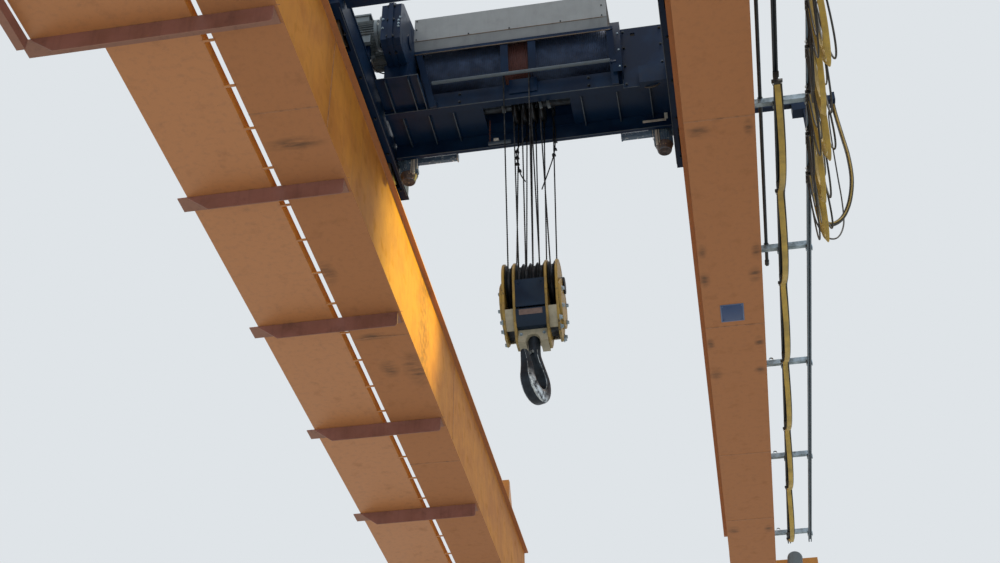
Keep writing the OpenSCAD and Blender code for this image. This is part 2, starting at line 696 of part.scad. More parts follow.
// a flat bar of width w and thickness t between two points
module strap(p, q, w, t) {
    v = q - p;
    l = norm(v);
    translate(p) rotate([atan2(-v[1], v[2]), 0, 0]) rotate([0, asin(v[0] / l), 0])
        translate([-w / 2, -t / 2, 0]) cube([w, t, l]);
}
module drum_bearing()
    color(navy) {
        x = drum_x1 - 55;
        difference() {
            union() {
                along_x(x, x + 50, [[dy - 320, cross_top + seat], [dy + 320, cross_top + seat],
                    [dy + 150, drum_z + 110], [dy - 150, drum_z + 110]]);
                bar_x(x, x + 60, dy, drum_z, 210);
            }
            bar_x(x - 1, x + 61, dy, drum_z, 120 + 1);
        }
        // the plate between the pedestal and the side beam, with its square hole
        difference() {
            box(x + 98, side_in - 12 - seat, beam_y - 12, beam_y, cross_z - 60, drum_z + 120);
            box(x + 200, x + 242, beam_y - 13, beam_y + 1, drum_z + 10, drum_z + 52);
        }
        box(x + 250, side_in - 15, beam_y - 92, beam_y - 12 - seat, cross_z - 90, cross_z + 125);
        // two arms, the pipe between them and two strips keep the rope on the drum
        for (k = [0, 1]) {
            low = [k == 0 ? gear_x1 + 165 : x + 30, dy - 256, cross_z - 40];
            strap(low, [k == 0 ? gear_x1 + 30 : x + 12, dy - 356, drum_z - 20], 62, 14);
            box(low[0] - 31, low[0] + 31, low[1] + 12, beam_y, cross_z, cross_z + 60);
        }
        bar_x(gear_x1 + 154, x - 6, guard_y, cross_z + 230, 32);
        for (c = [-200, 68]) along_x(c, c + 75, [[dy - 363.7, drum_z - 1], [dy - 352, drum_z - 1],
            [guard_y + 6, cross_z + 247], [guard_y - 6, cross_z + 247]]);
        box(-140, 130, beam_y - 12, beam_y, cross_z + 60, cross_z + 240);
        // eight-sided cover on a strip, under the gearbox
        translate([gear_x1 - 50, beam_y - 12, cross_z + 280]) rotate([-90, 22.5, 0])
            cylinder(d = 175, h = 12, $fn = 8);
        box(gear_x1 - 80, gear_x1 - 20, beam_y - 12, beam_y, cross_z + 60, cross_z + 250);
        // angle under the cover
        box(gear_x1 - 10, x + 45, dy - 370, dy - 364, drum_z - 34, drum_z + 6);
        box(gear_x1 - 10, x + 45, dy - 364, dy - 330, drum_z, drum_z + 6);
    }

module drum_cover()
    color([0.56, 0.57, 0.58]) {
        x0 = gear_x1 - 12 + seat;
        x1 = drum_x1 - 55 - seat;
        y = dy - 400;
        t = 6;
        // front sheet with its black return, and the two roof sheets
        box(x0, x1, y, y + t, drum_z + 120, drum_z + 420);
        along_x(x0, x1, [[y + t + seat, drum_z + 120], [y + t + 6, drum_z + 120],
            [y + 56, drum_z + 6 + seat], [y + 50, drum_z + 6 + seat]]);
        along_x(x0, x1, [[y, drum_z + 420 + seat], [dy + 200, drum_z + 520 + seat],
            [dy + 200, drum_z + 520 + seat + t], [y, drum_z + 420 + seat + t]]);
        along_x(x0, x1, [[dy + 200 + seat, drum_z + 520 + seat], [dy + 420, drum_z + 420],
            [dy + 420, drum_z + 420 + t], [dy + 200 + seat, drum_z + 520 + seat + t]]);
    }

// a small geared motor that stands on end beside each side beam
module drive_at() 
    translate([side_in - 110, ty + cross_y[2][0] + cross_y[2][1] + drive_gap, side_z - 60]) children();
module drive_bar(l) {
    box(-l, -drive_d * 0.35, -20, 20, 137, 197);
    box(-l - 15, -l, -24, 24, 133, 201);
}
module trolley_drives() {
    color(zinc) mirror([1, 0, 0]) drive_at() drive_bar(bar_left);
    color(zinc) drive_at() drive_bar(bar_right);
    color(zinc) mirrored_x() drive_at() {
        d = drive_d;
        // finned motor on end, its fan cover below, the gearbox on the beam
        finned(d, 230, 24);
        translate([0, 0, 226]) cylinder(d = d * 1.05, h = 20);
        translate([0, 0, -80]) cylinder(d1 = d * 0.7, d2 = d * 0.9, h = 85);
        box(-d * 0.42, 110 - seat, -70, 70, 244, 330);
        box(20, 110 - seat, -45, 45, 150, 245);
        for (z = [30, 200]) box(-d * 0.52, -d * 0.4, -30, 30, z, z + 45);
    }
}

sheave_x = [-125, -42, 42, 125];
// a grooved sheave, d across the bottom of its groove
module sheave(x, y, z, d, w)
    translate([x, y, z]) rotate([0, 90, 0]) rotate_extrude($fn = 64) polygon([
        [30, -w / 2], [d / 2 + 26, -w / 2], [d / 2, -rope_d / 2 - 2], [d / 2, rope_d / 2 + 2],
        [d / 2 + 26, w / 2], [30, w / 2]]);
module upper_sheaves()
    color(black) {
        for (x = sheave_x) sheave(x, uy, upper_z, upper_d, 46);
        bar_x(-459, 459, uy, upper_z, 80);
        // rope sockets, each on a bracket that stands on the far cross beam
        for (k = [0, 1]) translate([dead_x[k], uy + upper_r, upper_z + seat]) {
            y = mdeck_l / 2 - upper_r;
            box(-9, 9, -14, 14, 0, 66);
            box(-17, 17, -24, 24, 65, 135);
            box(-16, 16, 4, y + 24, 134, 147);
            box(-16, 16, y + 6, y + 24, cross_top - upper_z, 135);
        }
        // the two ropes between the drum and the height at which the falls start
        for (k = [0, 1]) rod(lead_at(k, upper_z + seat), [lead_x[k], lead_y, drum_z], rope_d);
    }

module tow_arm()
    color(navy) {
        x1 = crail_out_x + 380;
        y = uy + 150;
        z = side_z - 60;
        box(tx + side_w / 2 + seat, x1, y - 30, y + 30, side_z + 40, side_z + 100);
        box(crail_out_x - 30, crail_out_x + 100, y - 60, y + 60, z, side_z + 40 - seat);
        box(x1 - 40, x1, y - 30, y + 150, side_z + 100 + seat, side_z + 135);
        // two rods down to the lead car
        for (s = [-50, 40]) translate([crail_out_x + 75, y + s, crail_z - 66 + seat])
            cylinder(d = 14, h = z - crail_z + 66 - 2 * seat);
        box(crail_out_x + 60, crail_out_x + 90, car_y(5) - 50, y + 50, crail_z - 84, crail_z - 66);
        box(crail_out_x + 20.5, crail_out_x + 60 - seat, car_y(5) - 50, car_y(5) - 15, crail_z - 84, crail_z - 66);
    }

// the cable from the lead car up to the tow arm, swept along its route
trolley_route = [[2530, -2150, 79], [2530, -2146, -150], [2550, -2100, -300], [2610, -2030, -330],
    [2720, -1980, -240], [2810, -1960, -60], [2870, -1950, 200], [2885, -1920, 500], [2875, -1870, 800],
    [2865, -1828, 1060], [2860, -1814, 1200], [2860, -1814, 1305]];
cable_d = 46;
// a smooth curve through the route's points, m steps between two of them
function spline(p, m) = let (n = len(p)) [for (i = [0:n - 2], k = [0:m - 1]) let (t = k / m,
    a = p[max(i - 1, 0)], b = p[i], c = p[i + 1], d = p[min(i + 2, n - 1)])
    b + t * (c - a) / 2 + t * t * (a - 2.5 * b + 2 * c - d / 2) + t * t * t * (3 * b - a - 3 * c + d) / 2];
function unit(v) = v / norm(v);
function round_ring(p, t, d, n) = let (u = unit(cross(t, [1, 0.02, 0])), v = cross(t, u))
    [for (j = [0:n - 1]) p + d / 2 * (u * cos(360 * j / n) + v * sin(360 * j / n))];
module trolley_cable() {
    line = concat(spline(trolley_route, 4), [trolley_route[len(trolley_route) - 1]]);
    n = len(line);
    color(yellow) translate([0, car_y(5) + 2170, 0])
        loft([for (i = [0:n - 1]) round_ring(line[i],
            unit(line[min(i + 1, n - 1)] - line[max(i - 1, 0)]), cable_d, 8)], 8);
}

// a straight rope from p to q
module rod(p, q, d) {
    v = q - p;
    l = norm(v);
    translate(p) rotate([0, acos(v[2] / l), atan2(v[1], v[0])]) cylinder(d = d, h = l, $fn = 16);
}
// two ropes come off the drum, the other falls hang from the upper sheaves
bx = block_x0;
side_sheave = (block_w / 2 - plate_t + inner_w / 2 + plate_t) / 2;
inner_pitch = inner_w / 4 - 2;
block_x = [bx - side_sheave, bx - 1.5 * inner_pitch, bx - inner_pitch / 2, bx + inner_pitch / 2,
    bx + 1.5 * inner_pitch, bx + side_sheave];
dead_x = [0, 215];
fall_r = sheave_d / 2 + rope_d / 2 + seat;
upper_r = upper_d / 2 + rope_d / 2 + seat;
lead_y = dy - drum_d / 2 - rope_d / 2 - seat;
lead_x = [-190, 60];
lead_block = [0, 3];
near_falls = [[1, 0], [2, 1], [4, 2], [5, 3]];
far_falls = [[0, 0], [1, 1], [3, 2], [4, 3]];
far_dead = [2, 5];
// the point of lead rope k at height z
function lead_at(k, z) = let (p = [block_x[lead_block[k]], fy - fall_r, block_z],
    q = [lead_x[k], lead_y, drum_z]) p + (q - p) * (z - block_z) / (drum_z - block_z);
module hoist_ropes()
    color(black) {
        for (k = [0, 1]) rod([block_x[lead_block[k]], fy - fall_r, block_z], lead_at(k, upper_z), rope_d);
        for (f = near_falls) rod([block_x[f[0]], fy - fall_r, block_z], [sheave_x[f[1]], uy - upper_r, upper_z], rope_d);
        for (f = far_falls) rod([block_x[f[0]], fy + fall_r, block_z], [sheave_x[f[1]], uy + upper_r, upper_z], rope_d);
        for (k = [0, 1]) rod([block_x[far_dead[k]], fy + fall_r, block_z], [dead_x[k], uy + upper_r, upper_z], rope_d);
    }

// Hook block

hang_z = block_z - 380;
// a side plate's outline: round above, drawn in to a blunt tip that far below the axis
plate_r = 240;
// the caps on the ends of the block's axle
cap_d = 150;
function plate_line(tip) = concat(
    [for (a = [-10:10:190]) [plate_r * cos(a), plate_r * sin(a)]],
    [for (p = [[-228, 0], [-208, 0.323], [-165, 0.646], [-105, 0.889], [-60, 1], [60, 1], [105, 0.889],
     [165, 0.646], [208, 0.323], [228, 0]]) [p[0], -160 - p[1] * (tip - 160)]]);
outer_tip = 545;
inner_tip = 600;
module block_frame()
    translate([bx, fy, 0]) difference() {
        w = inner_w / 2;
        union() {
            color(yellow) mirrored_x() translate([0, 0, block_z]) {
                along_x(block_w / 2 - plate_t, block_w / 2, plate_line(outer_tip));
                along_x(w, w + plate_t, plate_line(inner_tip));
            }
            // cheek weights outside the plates
            color(yellow) for (x = [-block_w / 2 - 22, block_w / 2])
                bar_x(x, x + 22, 0, block_z - 190, 440);
            // guards between the inner plates, the housing and the foot plate
            color(black) mirrored_y() translate([0, 0, block_z])
                along_x(-w - 1, w + 1, [[-234, -60], [-224, -160], [-204, -320], [-194, -320], [-214, -160], [-224, -60]]);
            color(black) translate([0, 0, block_z]) along_x(-w - 1, w + 1, [[-200, -335], [200, -335],
                [170, -440], [140, -486], [-140, -486], [-170, -440]]);
            color(black) box(-block_w / 2 + 1, block_w / 2 - 1, -70, 70, hang_z - 100, hang_z - 40);
            color(yellow) difference() {
                box(-w, w, -90, 90, block_z - 610, block_z - 485);
                bar_y(-91, 91, 0, block_z - 592, 124);
                box(-62, 62, -91, 91, block_z - 611, block_z - 592);
            }
            // bent guards between the outer plates
            color(steel) mirrored_y() mirrored_x() translate([0, 0, block_z])
                along_x(w + 1, block_w / 2 - 1, [[-192, -330], [-160, -410], [-100, -490], [-90, -490], [-150, -410], [-182, -330]]);
        }
        bar_x(-block_w, block_w, 0, block_z, 90 + 2 * seat);
        // the cheeks are cut round the axle's caps
        mirrored_x() bar_x(block_w / 2, block_w, 0, block_z, cap_d + 2 * seat);
        for (x = [-side_sheave, side_sheave]) bar_x(x - 30, x + 30, 0, block_z, 2 * (sheave_d / 2 + 26 + run));
        translate([0, 0, hang_z - 245]) cylinder(d = shank_d + 1, h = 260);
        // room for the hook's nut
        translate([0, 0, hang_z]) cylinder(d = 162, h = 62);
    }
module block_sheaves()
    color(black) translate([bx, 0, 0]) {
        for (x = [-block_w / 2 - 36 - seat, block_w / 2 + seat]) bar_x(x, x + 36, fy, block_z, cap_d);
        bar_x(-block_w / 2 - 20, block_w / 2 + 20, fy, block_z, 90);
        for (x = [-side_sheave, side_sheave]) sheave(x, fy, block_z, sheave_d, 52);
        for (k = [1:4]) sheave(block_x[k] - bx, fy, block_z, sheave_d, inner_pitch - 6);
    }

shank_d = 104;
throat_z = hang_z - 100 - shank_l;
// the forging's middle line from the tip round the throat to the shank:
// X, Z, depth across and width of each section, about the throat's centre
function bowl(a, depth, width) = let (d = depth * bowl_t, r = throat_r + d / 2)
    [r * cos(a), r * sin(a), d, width * bowl_w];
hook_line = concat(
    [[throat_r * 2.02, throat_r * 2.05, bowl_t * 0.16, bowl_w * 0.2],
     [throat_r * 1.98, throat_r * 1.96, bowl_t * 0.32, bowl_w * 0.4],
     [throat_r * 1.88, throat_r * 1.7, bowl_t * 0.42, bowl_w * 0.5],
     [throat_r * 1.7, throat_r * 1.2, bowl_t * 0.55, bowl_w * 0.62],
     [throat_r * 1.54, throat_r * 0.6, bowl_t * 0.68, bowl_w * 0.74]],
    [bowl(0, 0.76, 0.82), bowl(-20, 0.84, 0.9), bowl(-45, 0.94, 0.96), bowl(-70, 1, 1),
     bowl(-95, 1.02, 1), bowl(-120, 1, 0.98), bowl(-145, 0.95, 0.94), bowl(-170, 0.9, 0.9),
     bowl(-195, 0.85, 0.88), bowl(-217, 0.8, 0.86)],
    [[-throat_r * 0.72, throat_r * 1.5, bowl_t * 0.78, shank_d],
     [-throat_r * 0.3, throat_r * 1.95, shank_d, shank_d],
     [-throat_r * 0.06, throat_r * 2.3, shank_d, shank_d],
     [0, throat_r * 2.6, shank_d, shank_d], [0, throat_r * 2.8, shank_d, shank_d]]);
hook_n = 20;
// one section: flat sided and wider towards the throat, round at the shank
function hook_ring(i) = let (
    n = len(hook_line), p = hook_line[i],
    q0 = hook_line[max(i - 1, 0)], q1 = hook_line[min(i + 1, n - 1)],
    t = [q1[0] - q0[0], q1[1] - q0[1]] / norm([q1[0] - q0[0], q1[1] - q0[1]]),
    u = [t[1], -t[0]], k = i < n - 5 ? 0.18 : 0.18 * (n - 1 - i) / 5, e = 1 - 1.7 * k)
    [for (j = [0:hook_n - 1]) let (a = 360 * j / hook_n, c = sign(cos(a)) * pow(abs(cos(a)), e),
        b = sign(sin(a)) * pow(abs(sin(a)), e))
        [p[0] - u[0] * p[2] / 2 * c, p[3] / 2 * b * (1 - k * c), p[1] - u[1] * p[2] / 2 * c]];
module loft(rings, n) {
    m = len(rings);
    polyhedron(
        points = [for (r = rings, v = r) v],
        faces = concat(
            [[for (j = [n - 1:-1:0]) j]],
            [for (i = [0:m - 2], j = [0:n - 1]) let (a = i * n + j, b = i * n + (j + 1) % n)
                each [[a, b, a + n], [b, b + n, a + n]]],
            [[for (j = [0:n - 1]) (m - 1) * n + j]]));
}
module hook()
    color(black) translate([bx, fy, 0]) rotate([0, 0, hook_turn]) {
        translate([0, 0, throat_z]) loft([for (i = [0:len(hook_line) - 1]) hook_ring(i)], hook_n);
        translate([0, 0, throat_z + throat_r * 2.7])
            cylinder(d = shank_d - 1, h = hang_z - throat_z - throat_r * 2.7 + 40);
        translate([0, 0, hang_z + 0.5]) cylinder(d = 160, h = 60);
    }
module hook_latch()
    color(steel) translate([bx, fy, throat_z]) rotate([0, 0, hook_turn]) {
        bar_y(-25, 25, shank_d / 2 + 14.4, throat_r * 2.5, 30);
        rotate([90, 0, 0]) translate([0, 0, -12]) linear_extrude(24) polygon([
            [shank_d / 2 + 4, throat_r * 2.5], [shank_d / 2 + 26, throat_r * 2.5],
            [throat_r * 1.5, throat_r * 1.62], [throat_r * 1.4, throat_r * 1.52]]);
    }

girder_left();
girder_right();
trolley_rails();
end_stops();
end_carriage_near();
end_carriage_far();
travel_wheels();
travel_drives();
buffers();
walkway_deck();
walkway_brackets();
handrail();
festoon_arms();
inner_cable_rail();
outer_cable_rail();
conduit();
cable_hangers();
hung_cable();
cable_car_1();
cable_car_2();
cable_car_3();
cable_car_4();
cable_car_5();
cable_loop_1();
cable_loop_2();
cable_loop_3();
cable_loop_4();
cable_loop_5();
trolley_frame();
machinery_deck();
trolley_wheels();
gearbox();
hoist_motor();
drum_cover();
drum_bearing();
trolley_drives();
upper_sheaves();
tow_arm();
rope_drum();
hoist_ropes();
block_frame();
block_sheaves();
hook();
hook_latch();
trolley_cable();
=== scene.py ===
"""Looks of the overhead bridge crane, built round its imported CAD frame. Lengths are metres, in the CAD frame."""
import logging
import math
from dataclasses import dataclass
from enum import Enum
from typing import ClassVar

import bmesh
import bpy
import numpy as np
from mathutils import Matrix


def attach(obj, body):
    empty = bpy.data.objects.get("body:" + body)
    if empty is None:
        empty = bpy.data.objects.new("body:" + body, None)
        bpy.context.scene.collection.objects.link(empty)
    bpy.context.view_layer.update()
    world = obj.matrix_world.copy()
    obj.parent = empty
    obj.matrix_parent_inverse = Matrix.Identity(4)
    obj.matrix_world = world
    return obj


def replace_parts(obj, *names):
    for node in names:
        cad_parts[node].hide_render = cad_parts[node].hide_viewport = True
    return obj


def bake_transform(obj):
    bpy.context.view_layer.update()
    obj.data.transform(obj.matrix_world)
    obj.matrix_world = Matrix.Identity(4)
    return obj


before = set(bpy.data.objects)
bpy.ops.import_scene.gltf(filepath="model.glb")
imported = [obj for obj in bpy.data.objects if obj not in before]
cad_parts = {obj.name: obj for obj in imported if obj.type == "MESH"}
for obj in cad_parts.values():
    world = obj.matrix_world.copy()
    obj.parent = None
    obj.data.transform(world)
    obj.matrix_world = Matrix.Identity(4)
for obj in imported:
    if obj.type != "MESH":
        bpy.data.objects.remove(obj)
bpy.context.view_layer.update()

LOG = logging.getLogger("bridge_crane")
MM = 0.001
MERGE = 0.01 * MM
SIDES = (-1, 1)
ACROSS, AWAY, UP = (1, 0, 0), (0, 1, 0), (0, 0, 1)
NEAR, DOWN = (0, -1, 0), (0, 0, -1)

Point = tuple[float, float, float]
Pair = tuple[float, float]
Table = tuple[tuple[float, ...], ...]
Faces = list[list[int]]
Tree = bpy.types.NodeTree
Socket = bpy.types.NodeSocket
Material = bpy.types.Material


class Body(Enum):
    """The CAD bodies that the pieces ride on."""

    BRIDGE = "bridge"
    TROLLEY = "trolley"
    DRUM = "drum"
    BLOCK = "block"
    HOOK = "hook"
    LATCH = "latch"
    CAR_1 = "car_1"
    CAR_2 = "car_2"
    CAR_3 = "car_3"
    CAR_4 = "car_4"
    CAR_5 = "car_5"


class Stiffness(Enum):
    """How stiff a free cable is."""

    MEDIUM = "medium"
    STIFF = "stiff"


# Colour and nodes


def linear(hex_code: str) -> tuple[float, float, float, float]:
    """Turns an sRGB hex colour into linear light.

    Args:
        hex_code: the colour as "#rrggbb".

    Returns:
        Red, green, blue and 1 in linear light.
    """
    parts = [int(hex_code[i : i + 2], 16) / 255 for i in (1, 3, 5)]
    return (*[p / 12.92 if p <= 0.04045 else ((p + 0.055) / 1.055) ** 2.4 for p in parts], 1.0)


def add_node(
    tree: Tree, kind: str, links: dict[str | int, Socket] | None = None,
    **settings: object,
) -> bpy.types.Node:
    """Adds one node with its settings and links.

    Args:
        tree: the material's node tree.
        kind: Blender's name for the node.
        links: input name or number -> the output that feeds it.
        settings: the node's own attributes, or input values by their name with _ for a space.

    Returns:
        The new node.
    """
    node = tree.nodes.new(kind)
    for key, value in settings.items():
        if key[0].islower():
            setattr(node, key, value)
        else:
            node.inputs[key.replace("_", " ")].default_value = value
    for name, source in (links or {}).items():
        tree.links.new(source, node.inputs[name])
    return node


# Shapes, each worked out as whole arrays


def grid_faces(rows: int, columns: int) -> list[list[int]]:
    """Quads of a grid whose columns close on themselves, with both end rings capped.

    Args:
        rows: rings along the run.
        columns: points round each ring.

    Returns:
        Faces as lists of point numbers.
    """
    r, c = np.meshgrid(np.arange(rows - 1), np.arange(columns), indexing="ij")
    n = (c + 1) % columns
    quads = np.stack([r * columns + c, r * columns + n, (r + 1) * columns + n, (r + 1) * columns + c], -1)
    ends = [list(range(columns))[::-1], list(range((rows - 1) * columns, rows * columns))]
    return quads.reshape(-1, 4).tolist() + ends


def sweep(
    path: np.ndarray, profile: np.ndarray, side: Point, twist: np.ndarray | None = None
) -> tuple[np.ndarray, Faces, np.ndarray]:
    """Carries a closed profile along a path.

    Point = path point + a * across + b * up, where across is side made square to the path's own direction and
    up is square to both; with a twist, a and b turn by that angle first. u runs round the profile, v in metres along
    the path.

    Args:
        path: n x 3 points.
        profile: m x 2 values (a, b) round the section.
        side: the direction that stays across the path.
        twist: n angles in radians, or None.

    Returns:
        Points, faces and UVs for Draft.add.
    """
    along = np.gradient(path, axis=0)
    along /= np.linalg.norm(along, axis=1, keepdims=True)
    across = np.array(side, float) - along * (along @ np.array(side, float))[:, None]
    across /= np.linalg.norm(across, axis=1, keepdims=True)
    up = np.cross(along, across)
    turn = np.zeros(len(path)) if twist is None else twist
    cos, sin = np.cos(turn)[:, None], np.sin(turn)[:, None]
    a = profile[None, :, 0] * cos - profile[None, :, 1] * sin
    b = profile[None, :, 0] * sin + profile[None, :, 1] * cos
    points = path[:, None] + a[..., None] * across[:, None] + b[..., None] * up[:, None]
    u, v = np.meshgrid(np.linspace(0, 1, len(profile), endpoint=False), run_lengths(path))
    return points.reshape(-1, 3), grid_faces(len(path), len(profile)), np.stack([u, v], -1).reshape(-1, 2)


def run_lengths(path: np.ndarray) -> np.ndarray:
    """How far along a line of points each of them lies."""
    return np.concatenate([[0], np.cumsum(np.linalg.norm(np.diff(path, axis=0), axis=1))])


def round_profile(diameter: float, count: int = 8) -> np.ndarray:
    """A circle: a = r cos t, b = r sin t, t once round."""
    return arc((0, 0), diameter / 2, 0, 360 - 360 / count, count)


def flat_profile(width: float, thick: float, count: int = 5) -> np.ndarray:
    """A flat bar's section: two half circles of the thickness joined by straight sides."""
    cap = arc(((width - thick) / 2, 0), thick / 2, -90, 90, count)
    return np.concatenate([cap, -cap])


def ribbed_profile(width: float, thick: float, cores: int = 5) -> np.ndarray:
    """A flat cable's section with a low crown over each core: half thickness = t/2 (0.8 + 0.2 |sin(cores pi a)|).

    Args:
        width: the cable's width.
        thick: its thickness.
        cores: how many crowns it has.

    Returns:
        Rows of (a, b) round the section.
    """
    a = np.linspace(0.5, -0.5, cores * 4 + 1)[1:-1]
    half = thick / 2 * (0.8 + 0.2 * np.abs(np.sin(cores * np.pi * (a + 0.5))))
    top = np.stack([a * (width - thick * 0.3), half], -1)
    end = np.array([[-width / 2, 0]])
    return np.concatenate([-end, top, end, -top])


def strand_profile(diameter: float, strands: int = 6, per_strand: int = 4) -> np.ndarray:
    """A wire rope's section: a circle that dips between n strands, r = d/2 (0.84 + 0.16 |cos(n t / 2)|^0.7).

    Args:
        diameter: the rope's diameter.
        strands: how many strands it has.
        per_strand: points on each.

    Returns:
        Rows of (a, b) round the section.
    """
    t = np.linspace(0, 2 * np.pi, strands * per_strand, endpoint=False)
    radius = diameter / 2 * (0.84 + 0.16 * np.abs(np.cos(strands * t / 2)) ** 0.7)
    return np.stack([np.cos(t) * radius, np.sin(t) * radius], -1)


def soft_box(low: Point, high: Point, edge: float) -> tuple[np.ndarray, Faces]:
    """A box with bevelled edges.

    On each side the points are a 4 x 4 grid at the corners and the bevels' inner lines; a point outside the inner
    box moves to the inner box's nearest point plus the bevel times the direction to it.

    Args:
        low: one corner.
        high: the corner across from it.
        edge: the bevel.

    Returns:
        Points and faces.
    """
    low_a, high_a = np.minimum(low, high), np.maximum(low, high)
    half = (high_a - low_a) / 2
    steps = np.array([[-h, -h + edge, h - edge, h] for h in half])
    points, faces = [], []
    r, c = np.meshgrid(np.arange(3), np.arange(3), indexing="ij")
    quad = np.stack([r * 4 + c, r * 4 + c + 1, r * 4 + c + 5, r * 4 + c + 4], -1).reshape(-1, 4)
    for axis in range(3):
        one, two = (axis + 1) % 3, (axis + 2) % 3
        for sign in SIDES:
            side = np.zeros((4, 4, 3))
            side[..., axis] = sign * half[axis]
            side[..., one] = steps[one][:, None]
            side[..., two] = steps[two][None, :]
            faces.extend((quad[:, ::sign] + 16 * len(points)).tolist())
            points.append(side.reshape(-1, 3))
    flat = np.concatenate(points)
    inner = np.clip(flat, -(half - edge), half - edge)
    out = flat - inner
    out /= np.maximum(np.linalg.norm(out, axis=1, keepdims=True), 1e-9)
    return inner + out * edge + (low_a + high_a) / 2, faces


def turned(rows: Table | np.ndarray, count: int = 20) -> tuple[np.ndarray, Faces]:
    """A turned shape about Z: x = r cos t, y = r sin t, z = h, its ends capped.

    Args:
        rows: the profile's rows (r, h).
        count: points round it.

    Returns:
        Points and faces.
    """
    t = np.linspace(0, 2 * np.pi, count, endpoint=False)
    ring = np.stack([np.cos(t), np.sin(t), np.zeros(count)], -1)
    radius, height = np.array(rows, float).T[:, :, None, None]
    return (radius * ring + height * UP).reshape(-1, 3), grid_faces(len(rows), count)


def aim(points: np.ndarray, places: np.ndarray, direction: Point) -> np.ndarray:
    """Copies of a shape drawn about Z, turned so that Z is the direction, one at each place.

    Args:
        points: the shape.
        places: n x 3 points.
        direction: where its Z goes.

    Returns:
        All copies' points as one array.
    """
    z = np.array(direction, float) / np.linalg.norm(direction)
    x = np.cross(AWAY if abs(z[1]) < 0.9 else ACROSS, z)
    x /= np.linalg.norm(x)
    turn = np.stack([x, np.cross(z, x), z])
    return (places[:, None] + (points @ turn)[None]).reshape(-1, 3)


def spots(*lists: tuple[float, ...] | np.ndarray) -> np.ndarray:
    """Every combination of the lists for X, Y and Z, as points."""
    return np.stack(np.meshgrid(*lists, indexing="ij"), -1).reshape(-1, len(lists))


def pairs(points: Table | np.ndarray, level: float, axis: int) -> np.ndarray:
    """Rows of two values made points by putting a level in as the given axis."""
    return np.insert(np.array(points, float), axis, level, axis=1)


def prism(outline: np.ndarray, low: float, high: float, edge: float, axis: int = 0) -> tuple[np.ndarray, Faces]:
    """A plate: an outline drawn out along one axis, its rims bevelled.

    Four rings: the outline drawn in by the bevel at both faces and full between them. A point is drawn in along the
    mean of its two edges' normals.

    Args:
        outline: n x 2 values along the other two axes, in their order.
        low: where the plate starts along the axis.
        high: where it ends.
        edge: the bevel.
        axis: 0, 1 or 2 for X, Y or Z.

    Returns:
        Points and faces.
    """
    following = np.roll(outline, -1, 0)
    before, after = outline - np.roll(outline, 1, 0), following - outline
    turn = np.sign(np.sum(outline[:, 0] * following[:, 1] - outline[:, 1] * following[:, 0]))
    mean = sum(side / np.linalg.norm(side, axis=1, keepdims=True) for side in (before, after))
    mean /= np.maximum(np.linalg.norm(mean, axis=1, keepdims=True), 0.5)
    inner = outline + turn * edge * np.stack([-mean[:, 1], mean[:, 0]], -1)
    low, high = min(low, high), max(low, high)
    rings = ((inner, low), (outline, low + edge), (outline, high - edge), (inner, high))
    return np.concatenate([pairs(shape, level, axis) for shape, level in rings]), grid_faces(4, len(outline))


def smooth_line(points: np.ndarray, steps: int) -> np.ndarray:
    """A curve through points: between b and c, with a before and d after, a Catmull-Rom cubic at even steps.

    Args:
        points: n x m values.
        steps: steps between two points.

    Returns:
        (n - 1) * steps + 1 rows.
    """
    t = np.linspace(0, 1, steps, endpoint=False)[None, :, None]
    b, c = points[:-1, None], points[1:, None]
    a = np.concatenate([points[:1], points[:-2]])[:, None]
    d = np.concatenate([points[2:], points[-1:]])[:, None]
    rows = b + t * (c - a) / 2 + t**2 * (a - 2.5 * b + 2 * c - d / 2) + t**3 * (3 * b - a - 3 * c + d) / 2
    return np.concatenate([rows.reshape(-1, points.shape[1]), points[-1:]])


def arc(middle: tuple[float, float], radius: float, start: float, end: float, count: int) -> np.ndarray:
    """Points on a circle from one angle to another in degrees: middle + r (cos t, sin t)."""
    t = np.radians(np.linspace(start, end, count))
    return np.array(middle) + radius * np.stack([np.cos(t), np.sin(t)], -1)


